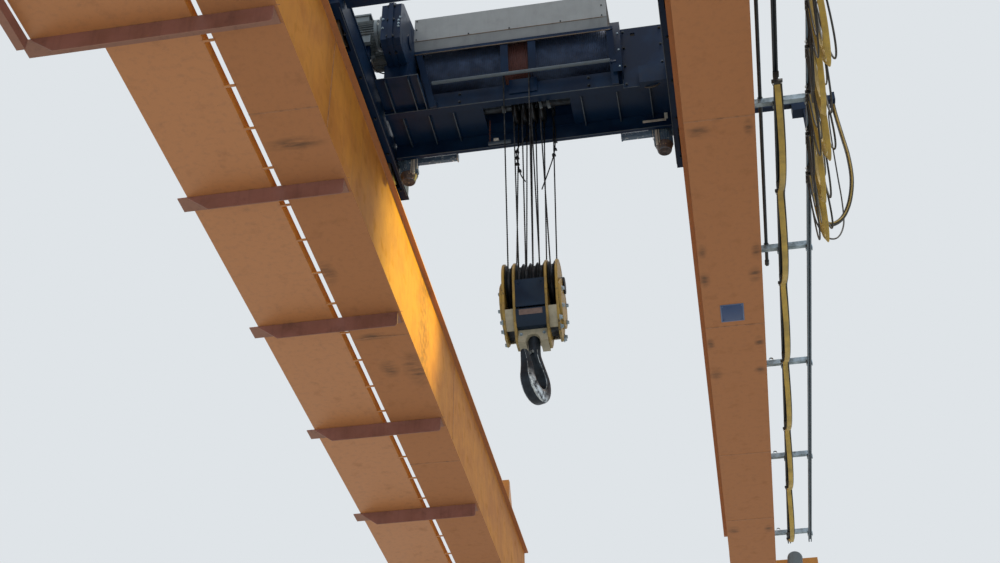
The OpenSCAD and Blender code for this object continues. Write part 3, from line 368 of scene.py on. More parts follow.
class Draft:
    """Collects surfaces into one mesh."""

    def __init__(self) -> None:
        """Starts empty."""
        self.points: list[np.ndarray] = []
        self.faces: Faces = []
        self.uvs: list[np.ndarray] = []
        self.slots: list[int] = []
        self.count = 0

    def add(self, points: np.ndarray, faces: Faces, uv: np.ndarray | None = None, slot: int = 0) -> None:
        """Adds one surface.

        Args:
            points: n x 3 points.
            faces: lists of point numbers, counted in this surface.
            uv: n x 2 values that follow the surface, or None.
            slot: which of the piece's finishes it takes.
        """
        self.points.append(points)
        self.uvs.append(uv if uv is not None else np.zeros((len(points), 2)))
        self.faces.extend([[i + self.count for i in f] for f in faces])
        self.slots.extend([slot] * len(faces))
        self.count += len(points)

    def box(self, low: Point, high: Point, edge: float, slot: int = 0) -> None:
        """Adds a soft_box."""
        self.add(*soft_box(low, high, edge), slot=slot)

    def plate(self, outline: np.ndarray, low: float, high: float, edge: float, axis: int = 0, slot: int = 0) -> None:
        """Adds a prism."""
        self.add(*prism(outline, low, high, edge, axis), slot=slot)

    def tube(
        self, path: np.ndarray, profile: np.ndarray, side: Point = ACROSS, twist: np.ndarray | None = None,
        slot: int = 0,
    ) -> None:
        """Adds a sweep."""
        self.add(*sweep(path, profile, side, twist), slot)

    def bolts(self, places: np.ndarray, direction: Point, across: float, slot: int = 0) -> None:
        """Adds hexagon heads on washers: six sides, 0.55 of their width high, with a chamfered top.

        Args:
            places: n x 3 points on the face that they stand on.
            direction: out of that face.
            across: the head's size across its corners.
            slot: which of the piece's finishes they take.
        """
        washer = ((0, -0.1), (1.35, -0.1), (1.35, 0.25), (0, 0.25))
        head = ((0, 0.2), (1, 0.2), (1, 1.1), (0.85, 1.3), (0, 1.3))
        for rows, count in ((washer, 14), (head, 6)):
            shape, faces = turned(np.array(rows) * across / 2, count)
            every = np.arange(len(places))[:, None, None] * len(shape)
            quads = np.array(faces[:-2])[None] + every
            self.add(aim(shape, places, direction), quads.reshape(-1, 4).tolist(), slot=slot)

    def bead(self, start: Point, end: Point, width: float, side: Point) -> None:
        """Adds a weld bead: a flat round section along a line, its size swelling a little every few centimetres.

        Args:
            start: one end.
            end: the other.
            width: its width.
            side: the direction across it on the plate.
        """
        round_count, step, low_share, swelling, beat = 6, 0.03, 0.45, 0.18, 2.1
        a, b = np.array(start, float), np.array(end, float)
        count = int(np.clip(np.linalg.norm(b - a) / step, 12, 120))
        path = a + (b - a) * np.linspace(0, 1, count)[:, None]
        points, faces, uv = sweep(path, round_profile(width, round_count) * [1, low_share], side)
        swell = 1 + swelling * np.sin(np.arange(count) * beat)[:, None, None]
        points = path[:, None] + (points.reshape(count, round_count, 3) - path[:, None]) * swell
        self.add(points.reshape(-1, 3), faces, uv)

    def rope_turns(
        self, xs: tuple[float, ...], middle: Pair, radius: float, start: float, count: int, lay: float
    ) -> None:
        """Adds half turns of wire rope round sheaves in a row: y = r cos t and z = r sin t about the axle.

        Args:
            xs: where the sheaves stand.
            middle: Y and Z of their axle.
            radius: the rope's middle line.
            start: the angle in degrees at which each begins.
            count: points along each.
            lay: the strands' turn from point to point in radians.
        """
        ring = arc(middle, radius, start, start + 180, count)
        for x in xs:
            self.tube(pairs(ring, x, 0), strand_profile(15 * MM), twist=np.arange(count) * lay)

    def to_piece(
        self, name: str, materials: list[Material], smooth: float
    ) -> bpy.types.Object:
        """Makes the object, its doubled points merged and its faces smooth up to an angle.

        Args:
            name: the piece's name.
            materials: its materials in the order of the slots used in add().
            smooth: the angle in degrees up to which neighbouring faces shade as one.

        Returns:
            The linked object, at the origin.
        """
        mesh = bpy.data.meshes.new(name)
        mesh.from_pydata(np.concatenate(self.points).tolist(), [], self.faces)
        loops = np.zeros(len(mesh.loops), np.int32)
        mesh.loops.foreach_get("vertex_index", loops)
        run = np.concatenate(self.uvs)[loops].astype(np.float32)
        mesh.uv_layers.new(name="run").data.foreach_set("uv", run.ravel())
        mesh.polygons.foreach_set("material_index", np.array(self.slots, np.int32))
        edit = bmesh.new()
        edit.from_mesh(mesh)
        bmesh.ops.remove_doubles(edit, verts=edit.verts, dist=MERGE)
        bmesh.ops.recalc_face_normals(edit, faces=edit.faces)
        edit.to_mesh(mesh)
        edit.free()
        for material in materials:
            mesh.materials.append(material)
        mesh.shade_smooth()
        mesh.set_sharp_from_angle(angle=math.radians(smooth))
        piece = bpy.data.objects.new(name, mesh)
        bpy.context.scene.collection.objects.link(piece)
        return piece


# Finishes


class Finish:
    """What every finish shares: the start and the end of its material, with noise and mixes between them."""

    @staticmethod
    def start(name: str) -> tuple[Material, Tree, Socket]:
        """Makes the material.

        Args:
            name: the finish's name.

        Returns:
            The material, its tree and the object coordinates' output.
        """
        material = bpy.data.materials.new(name)
        material.use_nodes = True
        tree = material.node_tree
        return material, tree, add_node(tree, "ShaderNodeTexCoord").outputs["Object"]

    @staticmethod
    def noise(
        tree: Tree, at: Socket, size_mm: float, low: float, high: float,
        detail: float = 4, stretch: Point = (1, 1, 1),
    ) -> Socket:
        """Noise whose features are about size_mm, spread to 0..1 between two of its levels.

        Args:
            tree: the material's tree.
            at: coordinates in metres.
            size_mm: size of a feature.
            low: the level that becomes 0.
            high: the level that becomes 1.
            detail: octaves.
            stretch: how much longer a feature is along each axis.

        Returns:
            The output to use as a factor.
        """
        place = add_node(tree, "ShaderNodeMapping", {"Vector": at}, Scale=tuple(1 / s for s in stretch)).outputs[0]
        grain = add_node(
            tree, "ShaderNodeTexNoise", {"Vector": place}, Scale=1 / (size_mm * MM), Detail=detail, Roughness=0.6
        ).outputs["Fac"]
        return add_node(tree, "ShaderNodeMapRange", {"Value": grain}, From_Min=low, From_Max=high).outputs[0]

    @staticmethod
    def mix(
        tree: Tree, factor: Socket, under: Socket | str, over: str,
        amount: float = 1.0,
    ) -> Socket:
        """Lays a colour over another by a factor times an amount.

        Args:
            tree: the material's tree.
            factor: 0..1.
            under: the colour below, as an output or a hex code.
            over: the colour on top, as a hex code.
            amount: how strongly it covers where the factor is 1.

        Returns:
            The mixed colour.
        """
        share = add_node(tree, "ShaderNodeMath", {0: factor}, operation="MULTIPLY")
        share.inputs[1].default_value = amount
        node = add_node(tree, "ShaderNodeMix", {"Factor": share.outputs[0]}, data_type="RGBA")
        node.inputs[7].default_value = linear(over)
        if isinstance(under, str):
            node.inputs[6].default_value = linear(under)
        else:
            tree.links.new(under, node.inputs[6])
        return node.outputs[2]

    @staticmethod
    def between(
        tree: Tree, value: Socket, low: float, high: float, margin: float
    ) -> Socket:
        """1 where a value lies between two levels, 0 outside them.

        Args:
            tree: the material's tree.
            value: the value.
            low: the lower level.
            high: the upper one.
            margin: how far inside the levels it takes to rise to 1.

        Returns:
            The output to use as a factor.
        """
        rise = add_node(tree, "ShaderNodeMapRange", {"Value": value}, From_Min=low, From_Max=low + margin).outputs[0]
        fall = add_node(tree, "ShaderNodeMapRange", {"Value": value}, From_Min=high, From_Max=high - margin).outputs[0]
        return add_node(tree, "ShaderNodeMath", {0: rise, 1: fall}, operation="MULTIPLY").outputs[0]

    @staticmethod
    def end(
        tree: Tree, colour: Socket, factor: Socket, rough: Pair,
        height: Socket, strength: float, depth_mm: float, settings: dict[str, float],
    ) -> bpy.types.Node:
        """Joins colour, roughness and bump to the shader.

        Args:
            tree: the material's tree.
            colour: its colour.
            factor: what the roughness follows.
            rough: the roughness where that is 0 and where it is 1.
            height: the bump's height.
            strength: how strongly it shows.
            depth_mm: how deep it is.
            settings: values of the shader's own sockets.

        Returns:
            The shader.
        """
        shader = tree.nodes["Principled BSDF"]
        ramp = add_node(tree, "ShaderNodeMapRange", {"Value": factor}, To_Min=rough[0], To_Max=min(1, rough[1]))
        bump = add_node(tree, "ShaderNodeBump", {"Height": height}, Strength=strength, Distance=depth_mm * MM)
        for name, output in (("Base Color", colour), ("Roughness", ramp.outputs[0]), ("Normal", bump.outputs[0])):
            tree.links.new(output, shader.inputs[name])
        for name, value in settings.items():
            shader.inputs[name].default_value = value
        return shader


@dataclass(frozen=True)
class Enamel(Finish):
    """Alkyd enamel sprayed on rolled plate: a satin skin whose colour fades in patches, with grime and chips.

    under is painted shade: the colour laid on faces that look down, duller and darker than the rest; a smudge is (x, y,
    half width, half length).
    """

    name: str
    colour: str
    faded: str
    under: str
    grime: str
    chip: str
    rough: float = 0.42
    patch_mm: float = 420
    streak_mm: float = 60
    blot_mm: float = 180
    chip_mm: float = 26
    speckle_mm: float = 70
    peel_mm: float = 9
    grime_amount: float = 0.35
    chip_level: float = 0.70
    metallic: float = 0.0
    gloss: float = 0.5
    smudges: Table = ()
    smudge: str = "#4a3e36"

    def rubbed(self, tree: Tree, at: Socket) -> Socket:
        """Where loads and hands have rubbed: 1 inside each smudge's ellipse on the plan, broken up by a fine noise.

        Args:
            tree: the material's tree.
            at: object coordinates.

        Returns:
            The mask.
        """
        mask: Socket | None = None
        for x, y, half_x, half_y in self.smudges:
            spot = add_node(
                tree, "ShaderNodeMapping", {"Vector": at},
                Location=(-x / half_x, -y / half_y, 0), Scale=(1 / half_x, 1 / half_y, 0),
            ).outputs[0]
            away = add_node(tree, "ShaderNodeVectorMath", {0: spot}, operation="LENGTH").outputs["Value"]
            inside = add_node(tree, "ShaderNodeMapRange", {"Value": away}, From_Min=1.0, From_Max=0.2).outputs[0]
            if mask is not None:
                inside = add_node(tree, "ShaderNodeMath", {0: mask, 1: inside}, operation="MAXIMUM").outputs[0]
            mask = inside
        speckle = self.noise(tree, at, self.speckle_mm, 0.36, 0.60, 9, (4, 1, 1))
        return add_node(tree, "ShaderNodeMath", {0: mask, 1: speckle}, operation="MULTIPLY").outputs[0]

    def build(self) -> Material:
        """Builds the material: patches, streaks that run down, blots of grime, painted shade on the undersides,
        smudges, chips and orange peel.
        """
        material, tree, at = self.start(self.name)
        colour = self.mix(tree, self.noise(tree, at, self.patch_mm, 0.42, 0.62), self.colour, self.faded)
        # painted shade: faces that look down take the under colour
        normal = add_node(tree, "ShaderNodeNewGeometry").outputs["Normal"]
        facing = add_node(tree, "ShaderNodeSeparateXYZ", {0: normal}).outputs["Z"]
        below = add_node(tree, "ShaderNodeMapRange", {"Value": facing}, From_Min=-0.3, From_Max=-0.9).outputs[0]
        streak = self.noise(tree, at, self.streak_mm, 0.5, 0.75, 5, (1, 1, 9))
        blot = self.noise(tree, at, self.blot_mm, 0.56, 0.74, 6)
        chips = self.noise(tree, at, self.chip_mm, self.chip_level, self.chip_level + 0.03, 7)
        layers = [
            (below, self.under, 1.0), (streak, self.grime, self.grime_amount),
            (blot, self.grime, self.grime_amount), (chips, self.chip, 1.0),
        ]
        if self.smudges:
            layers.append((self.rubbed(tree, at), self.smudge, 0.75))
        for factor, over, amount in layers:
            colour = self.mix(tree, factor, colour, over, amount)
        peel = add_node(tree, "ShaderNodeTexNoise", {"Vector": at}, Scale=1 / (self.peel_mm * MM), Detail=3)
        settings = {"Metallic": self.metallic, "IOR": 1.5, "Specular IOR Level": self.gloss}
        self.end(tree, colour, blot, (self.rough, self.rough + 0.25), peel.outputs["Fac"], 0.12, 2, settings)
        return material


@dataclass(frozen=True)
class BareSteel(Finish):
    """Steel without paint, rolled, turned or forged: metal with a brown or grey skin where nothing rubs it.

    stretch gives the rolling or turning marks their direction; band is where X lies in a reddish stretch, partly
    browned steel and partly a painted reflection.
    """

    name: str
    colour: str
    skin: str
    rust: str
    rough: float = 0.35
    skin_amount: float = 0.8
    rust_amount: float = 0.4
    skin_mm: float = 90
    rust_mm: float = 45
    grain_mm: float = 3
    stretch: Point = (1, 1, 1)
    metallic: float = 1.0
    band: Pair = (0.0, 0.0)
    band_colour: str = ""

    def build(self) -> Material:
        """Builds the material: worn metal, patches of skin and rust, a reddish band between two x (browned steel and a
        painted reflection), and fine marks.
        """
        material, tree, at = self.start(self.name)
        skin = self.noise(tree, at, self.skin_mm, 0.38, 0.62, 6)
        colour = self.mix(tree, skin, self.colour, self.skin, self.skin_amount)
        rust = self.noise(tree, at, self.rust_mm, 0.55, 0.72, 7)
        colour = self.mix(tree, rust, colour, self.rust, self.rust_amount)
        # the band: browning and a painted reflection on the drum's bare middle
        if self.band_colour:
            x = add_node(tree, "ShaderNodeSeparateXYZ", {0: at}).outputs["X"]
            colour = self.mix(tree, self.between(tree, x, *self.band, 4 * MM), colour, self.band_colour, 0.85)
        marks = self.noise(tree, at, self.grain_mm, 0.3, 0.7, 4, self.stretch)
        colour = self.mix(tree, marks, colour, self.skin, 0.25)
        shader = self.end(tree, colour, skin, (self.rough, self.rough + 0.3), marks, 0.15, 1, {})
        metal = add_node(
            tree, "ShaderNodeMapRange", {"Value": rust}, To_Min=self.metallic, To_Max=self.metallic * 0.35
        )
        tree.links.new(metal.outputs[0], shader.inputs["Metallic"])
        return material


@dataclass(frozen=True)
class Moulded(Finish):
    """Moulded plastic or rubber, or a cable's sheath: even colour with dust in patches and a fine moulded grain."""

    name: str
    colour: str
    dusty: str
    rough: float = 0.5
    dust_amount: float = 0.5
    dust_mm: float = 120
    mark_mm: float = 18
    grain_mm: float = 2

    def build(self) -> Material:
        """Builds the material: dust in patches, hand marks and a grain of 2 mm, coarser than real so that it shows."""
        material, tree, at = self.start(self.name)
        dust = self.noise(tree, at, self.dust_mm, 0.4, 0.65, 6)
        colour = self.mix(tree, dust, self.colour, self.dusty, self.dust_amount)
        marks = self.noise(tree, at, self.mark_mm, 0.55, 0.7, 5)
        colour = self.mix(tree, marks, colour, self.dusty, self.dust_amount * 0.6)
        grain = add_node(tree, "ShaderNodeTexNoise", {"Vector": at}, Scale=1 / (self.grain_mm * MM), Detail=2)
        self.end(
            tree, colour, dust, (self.rough, self.rough + 0.2), grain.outputs["Fac"], 0.1, 0.5, {"IOR": 1.5}
        )
        return material


@dataclass(frozen=True)
class HookForging(Finish):
    """A forged hook: black scale with dents; its flat sides pale round the bowl, partly rubbed bright and partly
    painted highlight, and a painted highlight line along their edges.

    Its map: u = 0.5 + half the share across the width (0 and 1 on the flat sides), v = metres from the tip.
    """

    name: str
    colour: str
    scale: str
    # bright: the colour of the rubbed steel and of the painted highlights
    bright: str
    bowl: Pair = (0.18, 0.60)
    bowl_margin: float = 0.12
    # edge: where |u - 0.5| takes the painted highlight line
    edge: Pair = (0.385, 0.435)

    def build(self) -> Material:
        """Builds the material: scale in patches, a bright band on the sides where v is in the bowl (rubbed steel and
        painted highlight), a painted highlight line along the sides' edges, and dents.
        """
        material, tree, at = self.start(self.name)
        scale = self.noise(tree, at, 60, 0.35, 0.65, 6)
        colour = self.mix(tree, scale, self.colour, self.scale, 0.9)
        run = add_node(tree, "ShaderNodeTexCoord").outputs["UV"]
        parts = add_node(tree, "ShaderNodeSeparateXYZ", {0: run}).outputs
        centred = add_node(tree, "ShaderNodeMath", {0: parts["X"]}, operation="SUBTRACT")
        centred.inputs[1].default_value = 0.5
        side = add_node(tree, "ShaderNodeMath", {0: centred.outputs[0]}, operation="ABSOLUTE").outputs[0]
        flat = add_node(tree, "ShaderNodeMapRange", {"Value": side}, From_Min=0.405, From_Max=self.edge[1]).outputs[0]
        factors = {
            "flat": flat, "bowl": self.between(tree, parts["Y"], *self.bowl, self.bowl_margin),
            "patches": self.noise(tree, at, 38, 0.62, 0.40, 5), "edge": self.between(tree, side, *self.edge, 0.015),
            "breaks": self.noise(tree, at, 45, 0.38, 0.62, 6),
        }
        for one, two, product in (("flat", "bowl", "sides"), ("sides", "patches", "sides"), ("edge", "breaks", "line")):
            factors[product] = add_node(
                tree, "ShaderNodeMath", {0: factors[one], 1: factors[two]}, operation="MULTIPLY"
            ).outputs[0]
        # rubbed steel and painted highlights together
        rubbed_and_highlight = add_node(
            tree, "ShaderNodeMath", {0: factors["sides"], 1: factors["line"]}, operation="MAXIMUM"
        ).outputs[0]
        colour = self.mix(tree, rubbed_and_highlight, colour, self.bright, 0.95)
        shader = self.end(tree, colour, rubbed_and_highlight, (0.5, 0.32), self.noise(tree, at, 14, 0.3, 0.7, 4), 0.25, 2, {})
        metal = add_node(tree, "ShaderNodeMapRange", {"Value": rubbed_and_highlight}, To_Min=0.55, To_Max=0.9)
        tree.links.new(metal.outputs[0], shader.inputs["Metallic"])
        return material


# where loads and hands have rubbed the girders: X, Y, half width and half length
GIRDER_SMUDGES: Table = (
    (1.500, -1.415, 0.050, 0.120), (1.990, -1.350, 0.055, 0.140), (1.495, -0.975, 0.060, 0.150),
    (1.968, -0.980, 0.075, 0.140), (1.490, 0.130, 0.050, 0.130), (1.973, 0.160, 0.060, 0.130),
    (1.515, 0.696, 0.080, 0.100), (1.966, 0.684, 0.070, 0.100), (1.544, 4.267, 0.090, 0.120),
    (1.962, 4.298, 0.060, 0.120), (1.568, -3.040, 0.120, 0.110), (1.979, -3.026, 0.050, 0.120),
    (-1.769, -3.495, 0.300, 0.100), (-1.530, 0.030, 0.150, 0.380), (-1.800, -0.027, 0.120, 0.190),
    (-1.980, -1.724, 0.100, 0.200), (-1.800, -0.626, 0.230, 0.075),
)


def all_finishes() -> dict[str, Material]:
    """Builds each finish once.

    Returns:
        The record's slot -> its material, and a few more for small pieces.
    """
    made = {
        # sprayed enamel on welded plate: warm yellow orange where clean, dull brown orange painted shade on the
        # undersides
        "orange_paint": Enamel(
            "orange_enamel", "#d89a48", "#c98942", "#b97f52", "#7b5a48", "#7a4a2c", grime_amount=0.3,
        ),
        # dark blue machine enamel under dust: nearly black in shade, pale on its top edges
        "navy_paint": Enamel(
            "navy_enamel", "#0d2240", "#143052", "#0c2340", "#141a24", "#3a4654", rough=0.34, grime_amount=0.25,
            chip_level=0.75, gloss=0.15,
        ),
        # yellow enamel knocked off by use, the primer and steel show grey and brown
        "block_yellow": Enamel(
            "worn_yellow_enamel", "#b4964a", "#a28748", "#93804c", "#33312d", "#4b4138", grime_amount=0.65,
            chip_level=0.62, streak_mm=34, patch_mm=120,
        ),
        # light grey powder coat on a folded sheet: smooth and pale, dust only in patches
        "cover_grey": Enamel(
            "grey_powder_coat", "#98a2ab", "#8e979f", "#8e979f", "#626a70", "#5b5450", rough=0.5, grime_amount=0.2,
            chip_level=0.78,
        ),
        # cast aluminium housings under grey machine enamel
        "motor_grey": Enamel(
            "motor_enamel", "#78868f", "#6d7a83", "#6c7880", "#4a4039", "#8a7a66", rough=0.35, grime_amount=0.4,
            metallic=0.3,
        ),
        # rolled rail head, polished by wheels along Y
        "rail_steel": BareSteel("rolled_rail_steel", "#8f8a84", "#5d5049", "#6b4630", stretch=(1, 30, 1)),
        # sheaves and shafts: machined cast steel under old grease
        "dark_steel": BareSteel("greased_cast_steel", "#4c535c", "#23262b", "#4a3628", rough=0.4, skin_amount=0.9),
        # forged hook: black scale, bright where slings rub
        "forged_steel": BareSteel(
            "forged_scale_steel", "#4a5058", "#15191f", "#33291f", rough=0.33, skin_amount=0.85, grain_mm=8,
        ),
        # zinc dipped bars and clips: dull silver spangle
        "galvanised": BareSteel(
            "dipped_zinc", "#a6b8c6", "#7f909c", "#757470", rough=0.42, rust_amount=0.2, grain_mm=12,
        ),
        # turned drum with grease in its grooves and rust in the bare middle
        "drum_steel": BareSteel("turned_drum_steel", "#464b55", "#22252c", "#4b352b", rough=0.38, stretch=(1, 6, 6)),
        # black cable rail: enamelled rolled channel
        "black_rail": Enamel(
            "black_channel_enamel", "#26333f", "#303e4a", "#28343f", "#4a4d4e", "#6a6258", rough=0.45,
            grime_amount=0.3, gloss=0.35,
        ),
        # nylon clips and cable cars
        "black_plastic": Moulded("moulded_nylon", "#1b1d20", "#4a4a48", rough=0.4),
        # yellow PVC sheath dulled by dust
        "cable_yellow": Moulded("yellow_cable_sheath", "#c0a550", "#7c7050", rough=0.48),
        # laid wire rope black with grease
        "wire_rope": BareSteel("greased_wire_rope", "#4d4f52", "#1d1d1f", "#3b3029", rough=0.42),
        # rubber buffers
        "rubber_black": Moulded("moulded_rubber", "#1c1b1a", "#4b4641", rough=0.65),
        # black round sheath of the control cable
        "cable_black": Moulded("black_cable_sheath", "#1e2124", "#55534d", rough=0.45),
        # thin control cable wrapped in a pale spiral tape
        "cable_wrapped": Moulded("wrapped_cable_sheath", "#4a4a44", "#8a8a80", rough=0.5),
        # painted shade: the brackets take a dull, dusty pink brown copy of the orange coat for the shade on their near
        # faces
        "bracket_paint": Enamel(
            "bracket_shade_enamel", "#9a6c64", "#8b6055", "#906858", "#5f4640", "#a8763f", rough=0.6, grime_amount=0.35,
        ),
        # weld beads under paint, brushed thin so the darker metal shows
        "weld_bead": Enamel(
            "painted_weld", "#b9834e", "#9a6b42", "#a06f4a", "#4f3b30", "#57493f", rough=0.5, grime_amount=0.6,
            patch_mm=60,
        ),
        # block guards and housing: black blue enamel
        "block_black": Enamel(
            "black_blue_enamel", "#12263c", "#182f48", "#102236", "#15191f", "#3a4654", rough=0.34, grime_amount=0.2,
            chip_level=0.76, gloss=0.25,
        ),
        # bare load plate: brown oxidised tin
        "bare_plate": Enamel(
            "brown_tin_plate", "#7d6a66", "#6e5d59", "#705e5a", "#4f4442", "#988a80", rough=0.45, grime_amount=0.3,
            patch_mm=30,
        ),
        # foot plate: cream machine enamel, chalky
        "cream": Enamel(
            "cream_enamel", "#b8b4a2", "#a8a492", "#a09c8a", "#6b675c", "#5c5548", rough=0.5, grime_amount=0.35,
            patch_mm=60,
        ),
        # painted highlights: grey blue strips along the trolley's lower edges; the same grey blue is the limit switch
        # weight's colour
        "pale_edge": Enamel(
            "edge_highlight_and_weight_grey", "#3f5062", "#354556", "#3a4a5c", "#1c242e", "#7a8792", rough=0.5, grime_amount=0.4,
            patch_mm=60,
        ),
        # painted highlight: tan strips along the drum cover's lips
        "worn_lip": Enamel(
            "tan_lip_highlight", "#857a6e", "#6a625a", "#7a7066", "#2b2a2c", "#a99a8a", rough=0.5, grime_amount=0.5,
            patch_mm=70,
        ),
        # brown cast lids of drives and housing
        "brown_cap": Enamel(
            "brown_cast_enamel", "#4f4a4e", "#6b6058", "#4a464b", "#22252c", "#a08468", rough=0.45, grime_amount=0.4,
            patch_mm=30, chip_level=0.60,
        ),
        # white lacquered plates and caps
        "white_plate": Enamel(
            "white_lacquer", "#c9ccca", "#b9bbb8", "#b0b2af", "#7d7a74", "#8a857c", rough=0.4, grime_amount=0.3,
            patch_mm=40,
        ),
        # lacquered tin: a smooth blue plate with a paler rim
        "blue_plate": Enamel(
            "blue_tin_plate", "#27477a", "#2f5088", "#234273", "#1c3358", "#5a6a84", rough=0.4, grime_amount=0.15,
            chip_level=0.8,
        ),
        "blue_rim": Enamel(
            "pale_tin_rim", "#6a7fa4", "#627798", "#5a6f94", "#3f5270", "#6a7686", rough=0.4, grime_amount=0.1,
            chip_level=0.8,
        ),
        # rusty chain
        "rusty_steel": BareSteel(
            "rusted_chain_steel", "#7a5548", "#5a3a30", "#8a4a35", rough=0.6, rust_amount=0.8, metallic=0.4,
        ),
        # bright zinc of nuts and screws
        "bright_zinc": BareSteel(
            "bright_zinc", "#dfe4e6", "#b8bec2", "#9a9488", rough=0.28, skin_amount=0.3, rust_amount=0.1, grain_mm=6,
        ),
        # rope laid on the drum: greasy, brown where the grease has dried
        "drum_rope": BareSteel(
            "laid_rope_steel", "#41577c", "#2b3b58", "#55504f", rough=0.45, skin_amount=0.5, rust_amount=0.2,
            metallic=0.35,
        ),
        # sheet latch: bare sheet, grey
        "latch_sheet": BareSteel("latch_sheet_steel", "#9aa0a4", "#4a4f55", "#4a3b31", rough=0.4),
        # the girders' own coat: a greyer, deeper copy of the same orange as painted shade, and a deeper painted shade
        # on their undersides
        "girder_paint": Enamel(
            "girder_orange_enamel", "#c98c3c", "#b97c38", "#ab7650", "#6b5148", "#7a4a2c", rough=0.6,
            grime_amount=0.2, gloss=0.2, smudges=GIRDER_SMUDGES,
        ),
        # the outer cable rail: painted blue grey, dusty
        "grey_rail": Enamel(
            "blue_grey_rail_enamel", "#5f7182", "#566878", "#5c6e7e", "#3a4148", "#7c8a96", rough=0.45,
            grime_amount=0.3, patch_mm=120,
        ),
        # travel drives: blue grey cast enamel; its many pale flecks are partly chipped enamel and partly painted sheen
        "drive_blue": Enamel(
            "drive_casting_enamel", "#56708c", "#6c86a0", "#4a6480", "#1c2630", "#c4d0da", rough=0.32,
            grime_amount=0.3, chip_level=0.60, patch_mm=40, gloss=0.4,
        ),
        # drum: steel blue grey under grease; its bare middle reddish, partly browned grooves and partly a painted
        # reflection
        "bare_drum": BareSteel(
            "drum_steel_browned_and_painted_reflection", "#3d5070", "#2a3850", "#4c4a4c", rough=0.42, skin_amount=0.5, rust_amount=0.2,
            metallic=0.35, stretch=(1, 6, 6), band=(-0.204, 0.078), band_colour="#7a4f44",
        ),
        "hook_forging": HookForging("shank_hook_forging", "#2c3743", "#171d26", "#d3dde4"),
    }
    return {name: finish.build() for name, finish in made.items()}


# The crane's own sub-assemblies


@dataclass
class SubAssembly:
    """What every sub-assembly shares: the finishes, and how a draft becomes a piece."""

    finishes: dict[str, Material]

    def piece(
        self, draft: Draft, name: str, looks: str, slot: str, body: Body | None, smooth: float = 35
    ) -> bpy.types.Object:
        """Makes a draft's piece and lets it ride.

        Args:
            draft: its surfaces.
            name: its name.
            looks: the names of its finishes, in the order of the draft's slots.
            slot: the record's material slot; not used.
            body: the CAD body that it rides on, or None for a piece that hangs between two and rides on neither.
            smooth: the angle in degrees up to which neighbouring faces shade as one.

        Returns:
            The piece.
        """
        piece = draft.to_piece(name, [self.finishes[look] for look in looks.split()], smooth)
        if body:
            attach(piece, body.value)
        LOG.info("%s: %d faces", name, len(draft.faces))
        return piece


@dataclass
class CadDress(SubAssembly):
    """Gives every CAD node the finish of its slot, or its own where it differs from the rest of its slot."""

    # the brackets' and the girders' own finishes are darker copies of the orange coat: painted shade
    own: ClassVar[dict[str, str]] = {
        "walkway_brackets": "bracket_paint", "girder_left": "girder_paint", "girder_right": "girder_paint",
        "rope_drum": "bare_drum", "trolley_drives": "drive_blue", "outer_cable_rail": "grey_rail",
    }

    def build(self) -> None:
        """Assigns the finish to each node's material slots; each node's material in model.glb is named for its slot."""
        for name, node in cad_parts.items():
            slot = node.data.materials[0].name.split(".")[0]
            for material_slot in node.material_slots:
                material_slot.material = self.finishes[self.own.get(name, slot)]
            LOG.info("%s: %s", name, slot)


@dataclass
class HoistRopes(SubAssembly):
    """The twelve falls between the trolley and the block: six-strand wire rope, right-hand lay.

    A fall is (sheave of the block, X of its upper end); each group of falls has its own lower and upper Y.
    """

    diameter: float = 15 * MM
    lay: float = 105 * MM
    rows: int = 90
    low: float = -0.710
    high: float = 1.545
    y: float = -2.07
    block_x: tuple[float, ...] = (-0.170, -0.07725, -0.01575, 0.04575, 0.10725, 0.200)
    near_falls: Table = ((1, -0.125), (2, -0.042), (4, 0.042), (5, 0.125))
    far_falls: Table = ((0, -0.125), (1, -0.042), (3, 0.042), (4, 0.125), (2, 0.0), (5, 0.215))
    lead_falls: Table = ((0, -0.190), (3, 0.060))
    near_y: Pair = (-2.2778, -2.1878)
    far_y: Pair = (-1.8622, -1.8522)
    lead_y: Pair = (-2.2778, -2.3778)
    drum_z: float = 1.985

    def lines(self) -> list[tuple[np.ndarray, np.ndarray]]:
        """The ends of each fall, cut off at the upper sheaves' height.

        Returns:
            (bottom, top) points.
        """
        made = []
        for falls, (bottom_y, top_y), top_z in (
            (self.near_falls, self.near_y, self.high), (self.far_falls, self.far_y, self.high),
            (self.lead_falls, self.lead_y, self.drum_z),
        ):
            for sheave, x in falls:
                bottom, top = np.array([self.block_x[sheave], bottom_y, self.low]), np.array([x, top_y, top_z])
                made.append((bottom, bottom + (top - bottom) * (self.high - self.low) / (top_z - self.low)))
        return made

    def build(self) -> None:
        """Sweeps the strand section up each fall, turned once per lay, and hangs it between trolley and block."""
        draft = Draft()
        share = np.linspace(0, 1, self.rows)[:, None]
        twist = -2 * np.pi * share[:, 0] * (self.high - self.low) / self.lay
        for bottom, top in self.lines():
            draft.tube(bottom + (top - bottom) * share, strand_profile(self.diameter), twist=twist)
        piece = self.piece(draft, "wire_rope_falls", "wire_rope", "wire_rope", None, 60)
        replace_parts(piece, "hoist_ropes")
        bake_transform(piece)


